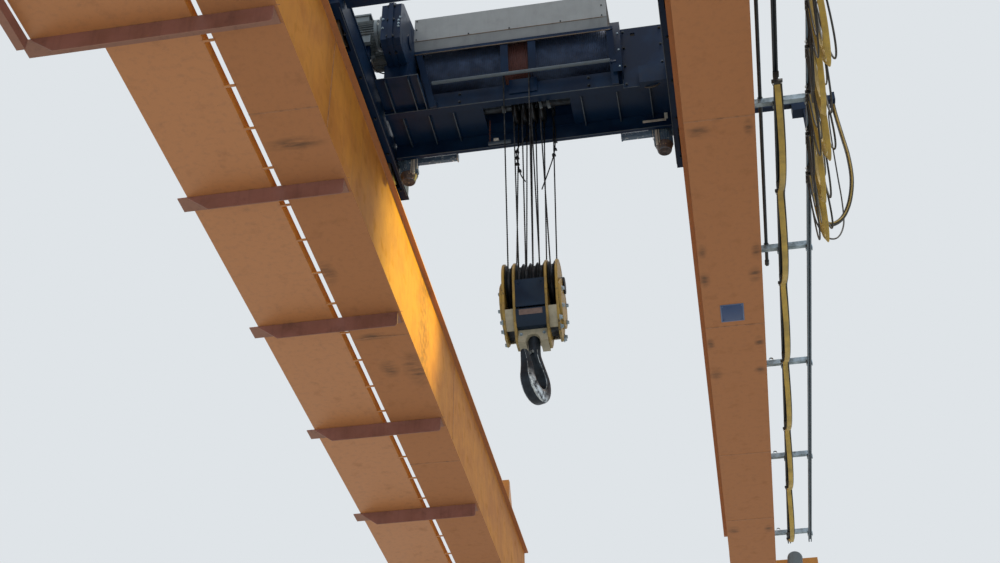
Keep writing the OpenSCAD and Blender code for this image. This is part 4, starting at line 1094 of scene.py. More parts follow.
@dataclass
class HookBlock(SubAssembly):
    """The hook block: four yellow plates, cheek weights, black guards and housing, cream foot plate and its bolts.

    Outlines are rows of (Y, Z) about the sheaves' axle; taper's rows are (half width, share of the way to the tip).
    """

    x: float = 0.015
    y: float = -2.070
    z: float = -0.710
    half_w: float = 0.243
    inner: float = 0.127
    plate: float = 0.022
    plate_r: float = 0.240
    shoulder: float = 0.160
    outer_tip: float = 0.545
    inner_tip: float = 0.600
    taper: Table = ((0.228, 0), (0.208, 0.323), (0.165, 0.646), (0.105, 0.889), (0.060, 1))
    cheek_drop: float = 0.190
    cheek_r: float = 0.220
    cap_r: float = 0.0755
    lower_bolts: Table = ((0.15, 0.435), (0.10, 0.495))
    guard: Table = (
        (-0.236, -0.060), (-0.226, -0.160), (-0.206, -0.322), (-0.196, -0.322), (-0.216, -0.160), (-0.226, -0.060),
    )
    bent_guard: Table = (
        (-0.192, -0.330), (-0.160, -0.410), (-0.100, -0.490), (-0.090, -0.490), (-0.150, -0.410), (-0.182, -0.330),
    )
    case: Table = (
        (-0.200, -0.340), (0.200, -0.340), (0.170, -0.440), (0.140, -0.486), (-0.140, -0.486), (-0.170, -0.440),
    )
    load_plate: Table = ((0.010, -0.001), (0.058, -0.001), (0.058, 0.0025), (0.010, 0.0025))
    case_slope: Table = ((0.2874, -0.9578), (-0.9578, -0.2874))
    foot_top: float = 0.485
    foot_low: float = 0.610
    arch_z: float = 0.592
    arch_r: float = 0.062
    foot_half: float = 0.088

    def outline(self, tip: float) -> np.ndarray:
        """A side plate's outline: round above, drawn in below to a blunt tip.

        Args:
            tip: how far the tip is below the axle.

        Returns:
            Rows of (Y, Z).
        """
        width, share = np.array(self.taper).T
        low = np.stack([width, -self.shoulder - share * (tip - self.shoulder)], -1)
        return np.concatenate([arc((0, 0), self.plate_r, -10, 190, 41), low * [-1, 1], low[::-1]]) + [self.y, self.z]

    def plates(self) -> None:
        """The yellow plates and cheeks, with bolt heads round them; a cheek is cut round the axle's cap."""
        draft = Draft()
        round_part = arc((0, -self.cheek_drop), self.cheek_r, 70.5, -250.5, 61)
        cheek = np.concatenate([round_part, arc((0, 0), self.cap_r, 167, 373, 19)]) + [self.y, self.z]
        for side in SIDES:
            outer, face = self.x + side * self.half_w, self.x + side * (self.half_w + self.plate)
            for near, tip in ((self.half_w - self.plate, self.outer_tip), (self.inner, self.inner_tip)):
                start, end = self.x + side * near, self.x + side * (near + self.plate)
                draft.plate(self.outline(tip), start, end, 3 * MM)
            draft.plate(cheek, outer, face, 3 * MM)
            corners = spots((face,), (self.y - 0.13, self.y + 0.13), (self.z - 0.12, self.z - 0.30))
            draft.bolts(corners, (side, 0, 0), 34 * MM, 1)
            for out, drop in self.lower_bolts:
                row = spots((outer,), (self.y - out, self.y + out), (self.z - drop,))
                draft.bolts(row, (side, 0, 0), 36 * MM, 1)
        piece = self.piece(draft, "block_plates", "block_yellow galvanised", "block_yellow", Body.BLOCK, 40)
        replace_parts(piece, "block_frame")

    def housing(self) -> None:
        """Guards with two screws each, the housing with its load plate, the crosshead and the bent guards beside it."""
        draft = Draft()
        axle, half = [self.y, self.z], self.inner + 1 * MM
        for side in SIDES:
            draft.plate(np.array(self.guard) * [-side, 1] + axle, self.x - half, self.x + half, 2 * MM)
            for out in SIDES:
                start, end = self.x + out * (self.inner + self.plate), self.x + out * (self.half_w - self.plate)
                draft.plate(np.array(self.bent_guard) * [-side, 1] + axle, start, end, 2 * MM, slot=1)
            screws = spots((self.x - 0.100, self.x + 0.100), (self.y + side * 0.2315,), (self.z - 0.095,))
            draft.bolts(screws, (0, side, -0.1), 16 * MM)
        draft.plate(np.array(self.case) + axle, self.x - half, self.x + half, 5 * MM)
        # on the housing's near face: its rows count along that face's slope and out of it
        bare = np.array(self.load_plate) @ np.array(self.case_slope) + self.case[0] + axle
        draft.plate(bare, self.x - 0.100, self.x + 0.100, 1 * MM, slot=2)
        low, high = (self.x - 0.220, self.y - 0.068, self.z - 0.478), (self.x + 0.220, self.y + 0.068, self.z - 0.422)
        draft.box(low, high, 6 * MM, 3)
        self.piece(draft, "block_housing", "block_black cream bare_plate dark_steel", "block_yellow", Body.BLOCK, 40)

    def foot_plate(self) -> None:
        """The cream foot plate, arched over the hook's neck."""
        draft = Draft()
        w, top, low = self.inner, self.z - self.foot_top, self.z - self.foot_low
        arch = arc((0, self.z - self.arch_z), self.arch_r, 0, 180, 19)
        rim = [[[-w, top], [w, top], [w, low], [self.arch_r, low]], arch, [[-self.arch_r, low], [-w, low]]]
        shape = np.concatenate(rim) + [self.x, 0]
        draft.plate(shape[::-1], self.y - self.foot_half, self.y + self.foot_half, 4 * MM, 1)
        heads = spots((self.x - 0.098, self.x + 0.098), (self.y - self.foot_half,), (self.z - 0.530,))
        draft.bolts(heads, NEAR, 22 * MM, 1)
        self.piece(draft, "block_foot_plate", "cream galvanised", "block_yellow", Body.BLOCK, 40)

    def build(self) -> None:
        """Makes the three pieces."""
        self.plates()
        self.housing()
        self.foot_plate()


@dataclass
class Hook(SubAssembly):
    """The forged shank hook, a loft of flat sided sections, with its nut and its sheet latch.

    As shares of its sizes, rows of tip are X, Z, depth and width, of bowl the angle, depth and width, and of neck
    X, Z and depth.
    """

    x: float = 0.015
    y: float = -2.070
    z: float = -1.645
    throat: float = 0.095
    depth: float = 0.120
    width: float = 0.125
    shank: float = 0.104
    turn_deg: float = -111.0
    hang: float = -1.090
    around: int = 32
    tip: Table = (
        (2.02, 2.05, 0.10, 0.14), (2.01, 2.02, 0.20, 0.26), (1.98, 1.94, 0.32, 0.40), (1.88, 1.70, 0.42, 0.50),
        (1.70, 1.20, 0.55, 0.62), (1.54, 0.60, 0.68, 0.74),
    )
    bowl: Table = (
        (0, 0.76, 0.82), (-20, 0.84, 0.90), (-45, 0.94, 0.96), (-70, 1, 1), (-95, 1.02, 1), (-120, 1, 0.98),
        (-145, 0.95, 0.94), (-170, 0.90, 0.90), (-195, 0.85, 0.88), (-217, 0.80, 0.86),
    )
    neck: Table = ((-0.72, 1.5, 0.9), (-0.3, 1.95, 1), (-0.06, 2.3, 1), (0, 2.6, 1), (0, 2.8, 1))
    nut: Table = ((0, 0.0005), (0.074, 0.0005), (0.080, 0.006), (0.080, 0.055), (0.074, 0.0605), (0, 0.0605))
    flap: Table = ((0.005, 2.46), (0.026, 2.52))
    flap_tip: Table = ((1.50, 1.64), (1.42, 1.53))
    pin_out: float = 0.0144
    pin_cap: Table = (
        (0, -0.025), (0.0135, -0.025), (0.015, -0.0235), (0.015, -0.021), (0.0135, -0.0195), (0, -0.0195),
    )
    pin: Table = ((0, -0.024), (0.008, -0.024), (0.008, 0.024), (0, 0.024))

    def sections(self) -> np.ndarray:
        """Rows of X, Z, depth and width from the tip round the throat to the shank, about the throat's centre."""
        r, d, w, s = self.throat, self.depth, self.width, self.shank
        angle, deep, wide = np.array(self.bowl, float).T
        angle, reach = np.radians(angle), r + deep * d / 2
        round_part = np.stack([reach * np.cos(angle), reach * np.sin(angle), deep * d, wide * w], -1)
        neck = np.array([[x * r, z * r, share * s, s] for x, z, share in self.neck])
        return smooth_line(np.concatenate([np.array(self.tip) * [r, r, d, w], round_part, neck]), 5)

    def placed(self, points: np.ndarray) -> np.ndarray:
        """Turns points about the upright axis by the hook's angle and sets them under the block.

        Args:
            points: n x 3 points about the throat's centre.

        Returns:
            The same points in the CAD frame.
        """
        a = math.radians(self.turn_deg)
        turn = np.array([[math.cos(a), math.sin(a), 0], [-math.sin(a), math.cos(a), 0], [0, 0, 1]])
        return points @ turn + [self.x, self.y, self.z]

    def forging(self) -> None:
        """Lofts the sections: a point goes |cos|^e across the depth and |sin|^e across the width, wider to the throat.

        The last 25 rows turn from the flat sided section, e = 0.5, to the round shank's, e = 1.
        """
        rows = self.sections()
        along = np.gradient(rows[:, :2], axis=0)
        along /= np.linalg.norm(along, axis=1, keepdims=True)
        across = np.stack([along[:, 1], -along[:, 0]], -1)
        share = np.clip((len(rows) - 1 - np.arange(len(rows))) / 25, 0, 1)[:, None]
        wedge, power = 0.18 * share, 1 - 0.5 * share
        t = np.linspace(0, 2 * np.pi, self.around, endpoint=False)[None]
        deep, wide = (np.sign(wave) * np.abs(wave) ** power for wave in (np.cos(t), np.sin(t)))
        x = rows[:, :1] - across[:, :1] * rows[:, 2:3] / 2 * deep
        y = rows[:, 3:4] / 2 * wide * (1 - wedge * deep)
        z = rows[:, 1:2] - across[:, 1:] * rows[:, 2:3] / 2 * deep
        v = np.repeat(run_lengths(rows[:, :2])[:, None], self.around, 1)
        uv = np.stack([0.5 + wide * 0.5, v], -1).reshape(-1, 2)
        draft = Draft()
        draft.add(self.placed(np.stack([x, y, z], -1).reshape(-1, 3)), grid_faces(len(rows), self.around), uv)
        r, top = self.shank / 2 - 0.5 * MM, self.hang - self.z
        low, high = 2.7 * self.throat, top + 0.04
        for profile in (((0, low), (r, low), (r, high), (0, high)), np.array(self.nut) + [0, top]):
            points, faces = turned(profile, self.around)
            # the middle of the map's u never takes the rubbed band or the painted highlight
            draft.add(self.placed(points), faces, np.full((len(points), 2), (0.5, 9.0)))
        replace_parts(self.piece(draft, "forged_hook", "hook_forging", "forged_steel", Body.HOOK, 50), "hook")

    def latch(self) -> None:
        """A folded sheet latch with turned sides, its pin with two caps and the spring on the pin."""
        draft = Draft()
        root, r = self.shank / 2, self.throat
        flap = np.concatenate([np.array(self.flap) * [1, r] + [root, 0], np.array(self.flap_tip) * r])
        high, low = 2.52 * r, 1.64 * r
        web = np.array([[root + 0.024, high], [root + 0.027, high], [1.505 * r, low], [1.475 * r, low]])
        sheets = [(flap, side * 0.0105 - 0.0015, side * 0.0105 + 0.0015, 0.6 * MM) for side in SIDES]
        for outline, low, high, edge in (*sheets, (web, -0.012, 0.012, 0.8 * MM)):
            points, faces = prism(outline, low, high, edge, 1)
            draft.add(self.placed(points), faces)
        ring = np.linspace(0, 2 * np.pi * 5, 80)
        pin_x, pin_z = root + self.pin_out, 2.5 * r
        coil = np.stack([0.0115 * np.cos(ring), np.linspace(-0.020, 0.020, 80), 0.0115 * np.sin(ring)], -1)
        points, faces, uv = sweep(coil + [pin_x, 0, pin_z], round_profile(3.5 * MM, 6), (0, 1, 0.01))
        draft.add(self.placed(points), faces, uv)
        for rows, count, side in ((self.pin_cap, 20, -1), (self.pin_cap, 20, 1), (self.pin, 14, 1)):
            points, faces = turned(rows, count)
            draft.add(self.placed(points[:, [0, 2, 1]] * [1, side, 1] + [pin_x, 0, pin_z]), faces)
        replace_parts(self.piece(draft, "sheet_latch", "latch_sheet", "galvanised", Body.LATCH), "hook_latch")

    def build(self) -> None:
        """Makes the hook and its latch."""
        self.forging()
        self.latch()


@dataclass
class BridgeDetails(SubAssembly):
    """Welds, bolts and small fittings of the girders, the walkway and the festoon arms; all ride on the bridge."""

    girder_x: float = 1.746
    flange: float = 0.292
    web: float = 0.282
    end_y: float = 5.25
    seams_z: Pair = (0.0155, 1.0945)
    brackets: tuple[float, ...] = (-5.0, -3.0, -1.0, 1.0, 3.0, 5.0)
    bracket_width: float = 0.180
    splices: Table = ((-3.9, -0.61, 1.95, 4.6), (-3.17, -0.17, 2.39, 4.01))
    web_splices: Pair = (-3.6, 1.57)
    rails_x: Pair = (2.235, 2.500)
    conduit: Pair = (2.110, 0.3163)
    saddle_foot: float = 0.3005
    deck_edge: float = -2.8402
    drain: Table = ((0, 0), (0.050, 0), (0.052, 0.002), (0.052, 0.008), (0.024, 0.012), (0, 0.012))

    def welds(self) -> None:
        """Fillet beads along flanges and webs, butt beads across the flanges, upright beads on the webs."""
        draft = Draft()
        for side, splices in zip(SIDES, self.splices):
            x = side * self.girder_x
            for out in SIDES:
                web = x + out * self.web
                for z in self.seams_z:
                    seam = web + out * 2 * MM
                    draft.bead((seam, -self.end_y, z), (seam, self.end_y, z), 12 * MM, (1, 0, 0.6))
                for y in self.web_splices:
                    draft.bead((web + out * MM, y, 0.018), (web + out * MM, y, 1.09), 16 * MM, AWAY)
            for y in splices:
                draft.bead((x - self.flange, y, 0.0), (x + self.flange, y + 0.008, 0.0), 20 * MM, AWAY)
        for y in self.brackets:
            far = y + self.bracket_width
            draft.bead((-2.9, y + 0.001, -0.001), (-1.43, y + 0.001, -0.001), 10 * MM, (0, 1, 0.4))
            draft.bead((-2.9, far, -0.001), (-2.13, far, -0.001), 12 * MM, AWAY)
            draft.bead((-2.03, far, -0.001), (-1.46, far, -0.001), 12 * MM, AWAY)
        self.piece(draft, "bridge_welds", "weld_bead", "orange_paint", Body.BRIDGE, 50)

    def fasteners(self) -> None:
        """Bolts under the brackets, on the arms' plates and the rails' clips, and ties across the deck's slot."""
        draft = Draft()
        draft.bolts(spots((-2.80, -2.25, -1.93, -1.55), np.array(self.brackets) + 0.10, (-0.0095,)), DOWN, 28 * MM)
        for y in self.brackets:
            draft.bolts(spots((2.0385,), (y - 0.042, y + 0.042), (0.222, 0.328)), ACROSS, 26 * MM, 1)
            for x in self.rails_x:
                draft.box((x - 0.030, y - 0.034, 0.2495), (x - 0.0205, y + 0.034, 0.2575), 2 * MM, 1)
                for side in SIDES:
                    near, far = x + side * 0.0215, x + side * 0.032
                    draft.box((near, y - 0.020, 0.206), (far, y + 0.020, 0.258), 3 * MM, 1)
                draft.bolts(spots((x - 0.012, x + 0.012), (y + 0.027,), (0.300,)), UP, 14 * MM, 1)
            # saddle that holds the conduit on the arm
            inside, outside = (arc(self.conduit, r, 0, 180, 15) for r in (0.0215, 0.0235))
            x, z = self.conduit[0], self.saddle_foot
            left, right = [[x - 0.0215, z], [x - 0.0235, z]], [[x + 0.0235, z], [x + 0.0215, z]]
            draft.plate(np.concatenate([inside, left, outside[::-1], right]), y - 0.014, y + 0.014, 0.5 * MM, 1, 1)
        for y in np.arange(-4.75, 5.4, 0.5):
            draft.box((-2.127, y - 0.012, -0.012), (-2.034, y + 0.012, -0.001), 2 * MM, 2)
        points, faces = turned(self.drain)
        for y in np.linspace(-4.841, 5.809, 10):
            draft.add(points + [self.deck_edge, y, 0.0062], faces, slot=2)
        self.piece(draft, "bridge_fasteners", "bracket_paint galvanised orange_paint", "orange_paint", Body.BRIDGE, 40)

    def girder_plate(self) -> None:
        """A bare blue plate with a pale rim under the right girder, held by four screws."""
        draft = Draft()
        draft.box((1.617, -0.538, -0.0045), (1.843, -0.250, -0.0005), 1 * MM, 1)
        draft.box((1.627, -0.528, -0.0060), (1.833, -0.260, -0.0030), 1 * MM)
        draft.bolts(spots((1.637, 1.823), (-0.518, -0.270), (-0.006,)), DOWN, 10 * MM, 1)
        self.piece(draft, "girder_plate", "blue_plate blue_rim", "orange_paint", Body.BRIDGE, 30)

    def build(self) -> None:
        """Makes the three pieces."""
        self.welds()
        self.fasteners()
        self.girder_plate()


@dataclass
class TrolleyDetails(SubAssembly):
    """Small parts of the trolley: painted highlights on edges, bolts, covers, tails of rope, fittings and cables; all
    ride on it.

    A strip is its two corners, a bolt row the X, Y and Z that its places combine, their direction, size and slot.
    """

    strips: tuple[tuple[Point, Point], ...] = (
        ((-1.352, -2.3165, 1.3715), (1.352, -2.3085, 1.3790)), ((-1.352, -1.8135, 1.2565), (1.352, -1.8070, 1.2640)),
        ((-1.352, -2.7435, 1.4170), (-0.928, -2.7385, 1.4240)), ((-1.3695, -3.86, 1.2015), (-1.3615, -1.30, 1.2080)),
        ((1.3500, -3.86, 1.2015), (1.3570, -1.30, 1.2080)), ((0.943, -2.3240, 1.3130), (1.352, -2.3200, 1.3190)),
        ((0.941, -2.3240, 1.3130), (0.947, -2.3200, 2.1050)),
    )
    far_ribs: tuple[float, ...] = (-1.190, -0.940, -0.700, 0.530, 0.870, 1.180)
    near_ribs: tuple[float, ...] = (-1.246, -1.026, -0.934)
    rib_half: float = 0.0048
    gearbox_faces: Pair = (-1.1575, -1.1125)
    gearbox_seam: Table = (
        (-3.051, 1.65), (-3.051, 1.87), (-3.05, 2.06), (-2.90, 2.190), (-2.75, 2.226), (-2.50, 2.285), (-2.25, 2.308),
        (-2.00, 2.293), (-1.821, 2.196), (-1.759, 1.96), (-2.00, 1.769), (-2.20, 1.769), (-2.444, 1.6735),
        (-2.70, 1.574), (-2.90, 1.574),
    )
    gearbox_end: Table = (
        (-1.060, 1.775), (-1.060, 1.815), (-1.060, 1.855), (-1.048, 1.895), (-1.210, 1.775), (-1.210, 1.895),
    )
    bolt_rows: tuple[tuple[tuple[float, ...], tuple[float, ...], tuple[float, ...], Point, float, int], ...] = (
        ((0.975, 1.325), (-2.3225,), (1.36, 1.60, 1.84, 2.06), NEAR, 0.022, 0),  # upright plate at the right
        ((-1.02, 0.80), (-2.5205,), (2.125, 2.265, 2.385), NEAR, 0.012, 0),  # the drum cover's ends
        ((-0.50, -0.10, 0.40), (-2.5205,), (2.118,), NEAR, 0.012, 0),  # and its lower edge
        ((0.845, 0.885), (-2.37, -1.87), (1.5655,), UP, 0.026, 0),  # the drum's pedestal
        ((-1.54, -1.40, 1.40, 1.54), (-3.55, -3.00, -2.45, -1.95, -1.40), (1.2045,), DOWN, 0.024, 0),  # side beams
        ((-1.28, -0.62, 0.62, 1.28), (-2.3105,), (1.42, 1.52), NEAR, 0.024, 0),  # middle beam
        ((-1.440, -1.270), (-2.6255,), (2.065,), NEAR, 0.030, 1),  # the small motor's clamp
    )
    drive_x: float = 1.255
    drive_y: float = -1.660
    drive_cap: Table = (
        (0, 1.063), (0.058, 1.063), (0.066, 1.070), (0.078, 1.125), (0.0835, 1.140), (0.0835, 1.148), (0.080, 1.148),
    )
    grille: tuple[float, ...] = (0.020, 0.034, 0.048)
    lid: Pair = (-1.080, 1.655)
    rope_tails: tuple[Table, ...] = (
        (
            (0.000, -1.820, 1.520), (-0.020, -1.815, 1.400), (-0.090, -1.812, 1.280), (-0.150, -1.812, 1.180),
            (-0.150, -1.812, 1.040), (-0.120, -1.812, 0.860), (-0.075, -1.812, 0.760),
        ),
        (
            (0.215, -1.820, 1.520), (0.225, -1.815, 1.400), (0.225, -1.812, 1.250), (0.205, -1.812, 1.060),
            (0.150, -1.812, 0.860), (0.080, -1.812, 0.640),
        ),
    )
    rope_clips: Table = (
        (-0.150, 1.150), (-0.150, 1.070), (-0.148, 0.990), (-0.130, 0.900), (0.224, 1.220), (0.218, 1.120),
        (0.205, 1.050),
    )
    chain_top: Point = (-0.383, -2.000, 1.412)
    guard_bars: tuple[tuple[Pair, Pair], ...] = (
        ((-0.250, 1.560), (-0.205, 1.300)), ((0.128, 1.440), (0.150, 1.300)), ((0.185, 1.530), (0.228, 1.290)),
    )
    rear_guard: Table = (
        (-1.806, 1.5655), (-1.778, 1.5655), (-1.778, 2.060), (-1.806, 2.060),
        (-1.806, 2.056), (-1.782, 2.056), (-1.782, 1.5695), (-1.806, 1.5695),
    )
    stay: Table = ((-1.778, 1.5655), (-1.772, 1.5655), (-1.772, 2.040), (-1.778, 2.040))
    end_shield: Table = (
        (0.862, -2.431), (0.953, -2.431), (0.953, -2.323), (0.949, -2.323), (0.949, -2.427), (0.862, -2.427),
    )
    motor_cables: tuple[tuple[float, Table], ...] = (
        (0.016, (
            (-1.600, -2.790, 2.110), (-1.600, -2.700, 2.150), (-1.560, -2.660, 2.060), (-1.500, -2.740, 1.880),
            (-1.470, -2.835, 1.780), (-1.465, -2.850, 1.728),
        )),
        (0.013, (
            (-1.330, -2.450, 1.850), (-1.330, -2.480, 1.760), (-1.390, -2.620, 1.690), (-1.430, -2.760, 1.740),
            (-1.440, -2.828, 1.680),
        )),
        (0.014, (
            (-1.430, -2.828, 1.620), (-1.420, -2.720, 1.560), (-1.335, -2.500, 1.540), (-1.330, -2.330, 1.480),
            (-1.330, -2.318, 1.440),
        )),
        (0.014, (
            (1.330, -2.318, 1.440), (1.320, -2.360, 1.330), (1.240, -2.345, 1.270), (1.150, -2.330, 1.285),
            (1.120, -2.326, 1.330),
        )),
    )
    gland: Table = ((0, 0), (0.014, 0), (0.014, 0.012), (0.010, 0.014), (0.010, 0.024), (0, 0.024))
    glands: tuple[tuple[Point, Point], ...] = (
        ((-1.600, -2.800, 2.110), AWAY), ((-1.465, -2.850, 1.733), UP), ((-1.330, -2.450, 1.8530), DOWN),
    )
    upper_sheaves: tuple[float, ...] = (-0.125, -0.042, 0.042, 0.125)

    def edges(self) -> None:
        """Painted highlights: pale strips on the lower edges of beams, ribs and plates, and tan strips on the cover's
        lips.
        """
        draft = Draft()
        for low, high in self.strips:
            draft.box(low, high, 2 * MM)
        for ribs, near, far in ((self.far_ribs, -2.225, -1.815), (self.near_ribs, -2.738, -2.315)):
            for x in ribs:
                draft.box((x - self.rib_half, near, 1.3725), (x + self.rib_half, far, 1.3785), 2 * MM)
        # painted highlights: the tan strips on the cover's lips
        draft.box((-1.040, -2.4925, 1.9475), (0.868, -2.4825, 1.9535), 2 * MM, 1)
        draft.box((-1.041, -2.5215, 2.1030), (0.815, -2.5130, 2.1075), 1 * MM, 1)
        self.piece(draft, "edge_highlights", "pale_edge worn_lip", "navy_paint", Body.TROLLEY, 30)

    def hardware(self) -> None:
        """Bolt heads of gearbox, plates, pedestal, cover and drives, a clamp, and pale plates by the drives."""
        draft = Draft()
        for x, way in zip(self.gearbox_faces, SIDES):
            draft.bolts(pairs(self.gearbox_seam, x, 0), (way, 0, 0), 22 * MM)
        draft.bolts(pairs(self.gearbox_end, -3.0415, 1), NEAR, 18 * MM, 1)
        for xs, ys, zs, direction, across, slot in self.bolt_rows:
            draft.bolts(spots(xs, ys, zs), direction, across, slot)
        draft.box((-1.462, -2.625, 2.045), (-1.236, -2.585, 2.085), 4 * MM, 2)
        for side in SIDES:
            draft.box((side * 1.115, -1.684, 1.3455), (side * 1.190, -1.640, 1.3640), 3 * MM, 3)
            draft.box((side * 1.155, -1.752, 1.160), (side * 1.161, -1.728, 1.366), 2 * MM, 3)
        # white cap on the left bar
        draft.box((-0.773, -1.690, 1.272), (-0.761, -1.630, 1.350), 4 * MM, 3)
        looks = "dark_steel galvanised navy_paint white_plate"
        self.piece(draft, "trolley_bolts", looks, "galvanised", Body.TROLLEY, 40)

    def lids(self) -> None:
        """The brown eight-sided lid, the drives' brown fan caps with their grilles, and pale strips beside them."""
        draft = Draft()
        draft.plate(arc(self.lid, 0.0885, 22.5, 337.5, 8), -2.3285, -2.3225, 2 * MM, 1)
        draft.plate(arc(self.lid, 0.030, 22.5, 337.5, 8), -2.3325, -2.3285, 1 * MM, 1)
        for side in SIDES:
            x = side * self.drive_x
            points, faces = turned(self.drive_cap, 36)
            draft.add(points + [x, self.drive_y, 0], faces)
            for radius in self.grille:
                ring = arc((x, self.drive_y), radius, 0, 350, 24)
                draft.tube(pairs([*ring, ring[0]], 1.0620, 2), round_profile(4 * MM, 6), UP, slot=1)
            corner = x - side * 0.064
            draft.box((corner - 0.012, -1.752, 1.095), (corner + 0.012, -1.730, 1.372), 4 * MM, 2)
            draft.box((corner + side * 0.020, -1.753, 1.110), (corner + side * 0.028, -1.741, 1.368), 2 * MM, 2)
        draft.box((1.075, -1.8155, 1.322), (1.300, -1.8095, 1.350), 2 * MM, 2)
        draft.box((1.285, -1.8165, 1.345), (1.318, -1.8095, 1.545), 2 * MM, 2)
        draft.box((-1.352, -1.7695, 1.352), (-1.160, -1.7550, 1.385), 3 * MM, 2)
        self.piece(draft, "brown_lids", "brown_cap dark_steel white_plate", "navy_paint", Body.TROLLEY)

    def tails(self) -> None:
        """The dead ends of the rope: tails that hang below their sockets, with bowed clips, each held by two nuts."""
        draft = Draft()
        for tail in self.rope_tails:
            path = smooth_line(np.array(tail), 8)
            draft.tube(path, strand_profile(13 * MM), twist=np.arange(len(path)) * 0.9)
        for x, z in self.rope_clips:
            draft.box((x - 0.018, -1.826, z - 0.009), (x + 0.018, -1.800, z + 0.009), 4 * MM, 1)
            bow = pairs(arc((x, -1.826), 0.013, 180, 360, 9), z, 2)
            draft.tube(bow, round_profile(6 * MM), UP, slot=1)
            draft.bolts(spots((x - 0.013, x + 0.013), (-1.800,), (z,)), AWAY, 11 * MM, 1)
        self.piece(draft, "rope_tails", "wire_rope dark_steel", "wire_rope", Body.TROLLEY, 50)

    def opening(self) -> None:
        """What hangs in the rope opening: the limit switch weight on its rusty chain, and the sheaves' guard bars.

        A link is an ellipse, x = a sin t, z = b cos t; every other link stands square to it.
        """
        draft = Draft()
        t = np.linspace(0, 2 * np.pi, 15)
        link = np.stack([0.0075 * np.sin(t), 0 * t, 0.016 * np.cos(t)], -1)
        for k in range(11):
            ring = link[:, [1, 0, 2]] if k % 2 else link
            draft.tube(ring + self.chain_top - [0, 0, 0.026 * k], round_profile(5 * MM, 6), (0.3, 0.9, 0.1))
        draft.box((-0.400, -2.012, 1.112), (-0.180, -1.988, 1.142), 4 * MM, 1)
        draft.box((-0.345, -2.022, 1.142), (-0.295, -1.978, 1.170), 4 * MM, 2)
        for ends in self.guard_bars:
            draft.tube(np.linspace(*pairs(ends, -2.214, 1), 6), flat_profile(30 * MM, 8 * MM), slot=3)
        looks = "rusty_steel pale_edge white_plate motor_grey"
        self.piece(draft, "opening_fittings", looks, "galvanised", Body.TROLLEY, 40)

    def guards(self) -> None:
        """The rope guard behind the drum, a sheet with folded edges, and the guard at the drum's end."""
        draft = Draft()
        draft.plate(np.array(self.rear_guard), -0.700, 0.700, 1 * MM)
        for x in (-0.690, 0.0, 0.690):
            draft.plate(np.array(self.stay), x - 0.015, x + 0.015, 1 * MM)
        draft.plate(np.array(self.end_shield), 1.440, 2.100, 1 * MM, 2)
        pipe = spots((-0.872, -0.300, 0.300, 0.842), (-2.423,), (1.605,))
        draft.tube(pipe, round_profile(33.8 * MM, 16), AWAY, slot=2)
        draft.box((1.035, -2.3085, 1.985), (1.097, -2.3020, 2.047), 2 * MM, 3)
        draft.bolts(spots((0.930,), (-2.431,), (1.50, 1.72, 1.94)), NEAR, 14 * MM, 1)
        self.piece(draft, "rope_guards", "navy_paint galvanised grey_rail rubber_black", "navy_paint", Body.TROLLEY, 40)

    def cables(self) -> None:
        """Black cables from the motors' boxes to the switch box, and along the far beam, with their glands."""
        draft = Draft()
        for size, points in self.motor_cables:
            draft.tube(smooth_line(np.array(points), 9), round_profile(size), (1, 0.1, 0.05))
        shape, faces = turned(self.gland, 12)
        for place, way in self.glands:
            draft.add(aim(shape, np.array([place]), way), faces, slot=1)
        self.piece(draft, "motor_cables", "cable_black black_plastic", "black_plastic", Body.TROLLEY, 45)

    def turns_over_sheaves(self) -> None:
        """The rope over the upper sheaves."""
        draft = Draft()
        draft.rope_turns(self.upper_sheaves, (-2.020, 1.545), 0.1678, 0, 33, 0.95)
        self.piece(draft, "upper_rope_turns", "wire_rope", "wire_rope", Body.TROLLEY, 60)

    def build(self) -> None:
        """Makes the pieces that ride on the trolley."""
        self.edges()
        self.hardware()
        self.lids()
        self.tails()
        self.opening()
        self.guards()
        self.cables()
        self.turns_over_sheaves()


@dataclass
class DrumRope(SubAssembly):
    """The rope laid on the drum, a helix at the shell's pitch on both sides of the bare middle.

    A winding is (X of its outer end, X of its lead, way round).
    """

    y: float = -2.120
    z: float = 1.985
    radius: float = 0.2520
    lift: float = 0.0072
    pitch: float = 0.018
    diameter: float = 16.5 * MM
    per_turn: int = 26
    windings: Table = ((-0.973, -0.190, 1), (0.815, 0.060, -1))

    def build(self) -> None:
        """Winds both ropes: x runs evenly, y = r cos t, z = r sin t; on the last turn r grows to clear the shell."""
        draft = Draft()
        for start, end, way in self.windings:
            turns = abs(end - start) / self.pitch
            share = np.linspace(0, 1, int(turns * self.per_turn))
            t = np.pi - way * 2 * np.pi * turns * (1 - share)
            radius = self.radius + self.lift * np.clip((share - 1) * turns + 1, 0, 1)
            x = start + (end - start) * share
            path = np.stack([x, self.y + radius * np.cos(t), self.z + radius * np.sin(t)], -1)
            draft.tube(path, round_profile(self.diameter))
        self.piece(draft, "drum_rope", "drum_rope", "wire_rope", Body.DRUM, 70)


@dataclass
class BlockRope(SubAssembly):
    """The rope under the block's six sheaves: half turns that join the falls."""

    xs: tuple[float, ...] = HoistRopes.block_x

    def build(self) -> None:
        """Makes the half turns."""
        draft = Draft()
        draft.rope_turns(self.xs, (-2.070, -0.710), 0.2078, 180, 37, 1.05)
        self.piece(draft, "block_rope_turns", "wire_rope", "wire_rope", Body.BLOCK, 60)


@dataclass
class Festoon(SubAssembly):
    """Where the festoon's cars stand at rest: the fixed clamp is number 0."""

    x: float = 2.500
    first: float = -4.720
    pitch: float = 0.510
    cars: int = 5


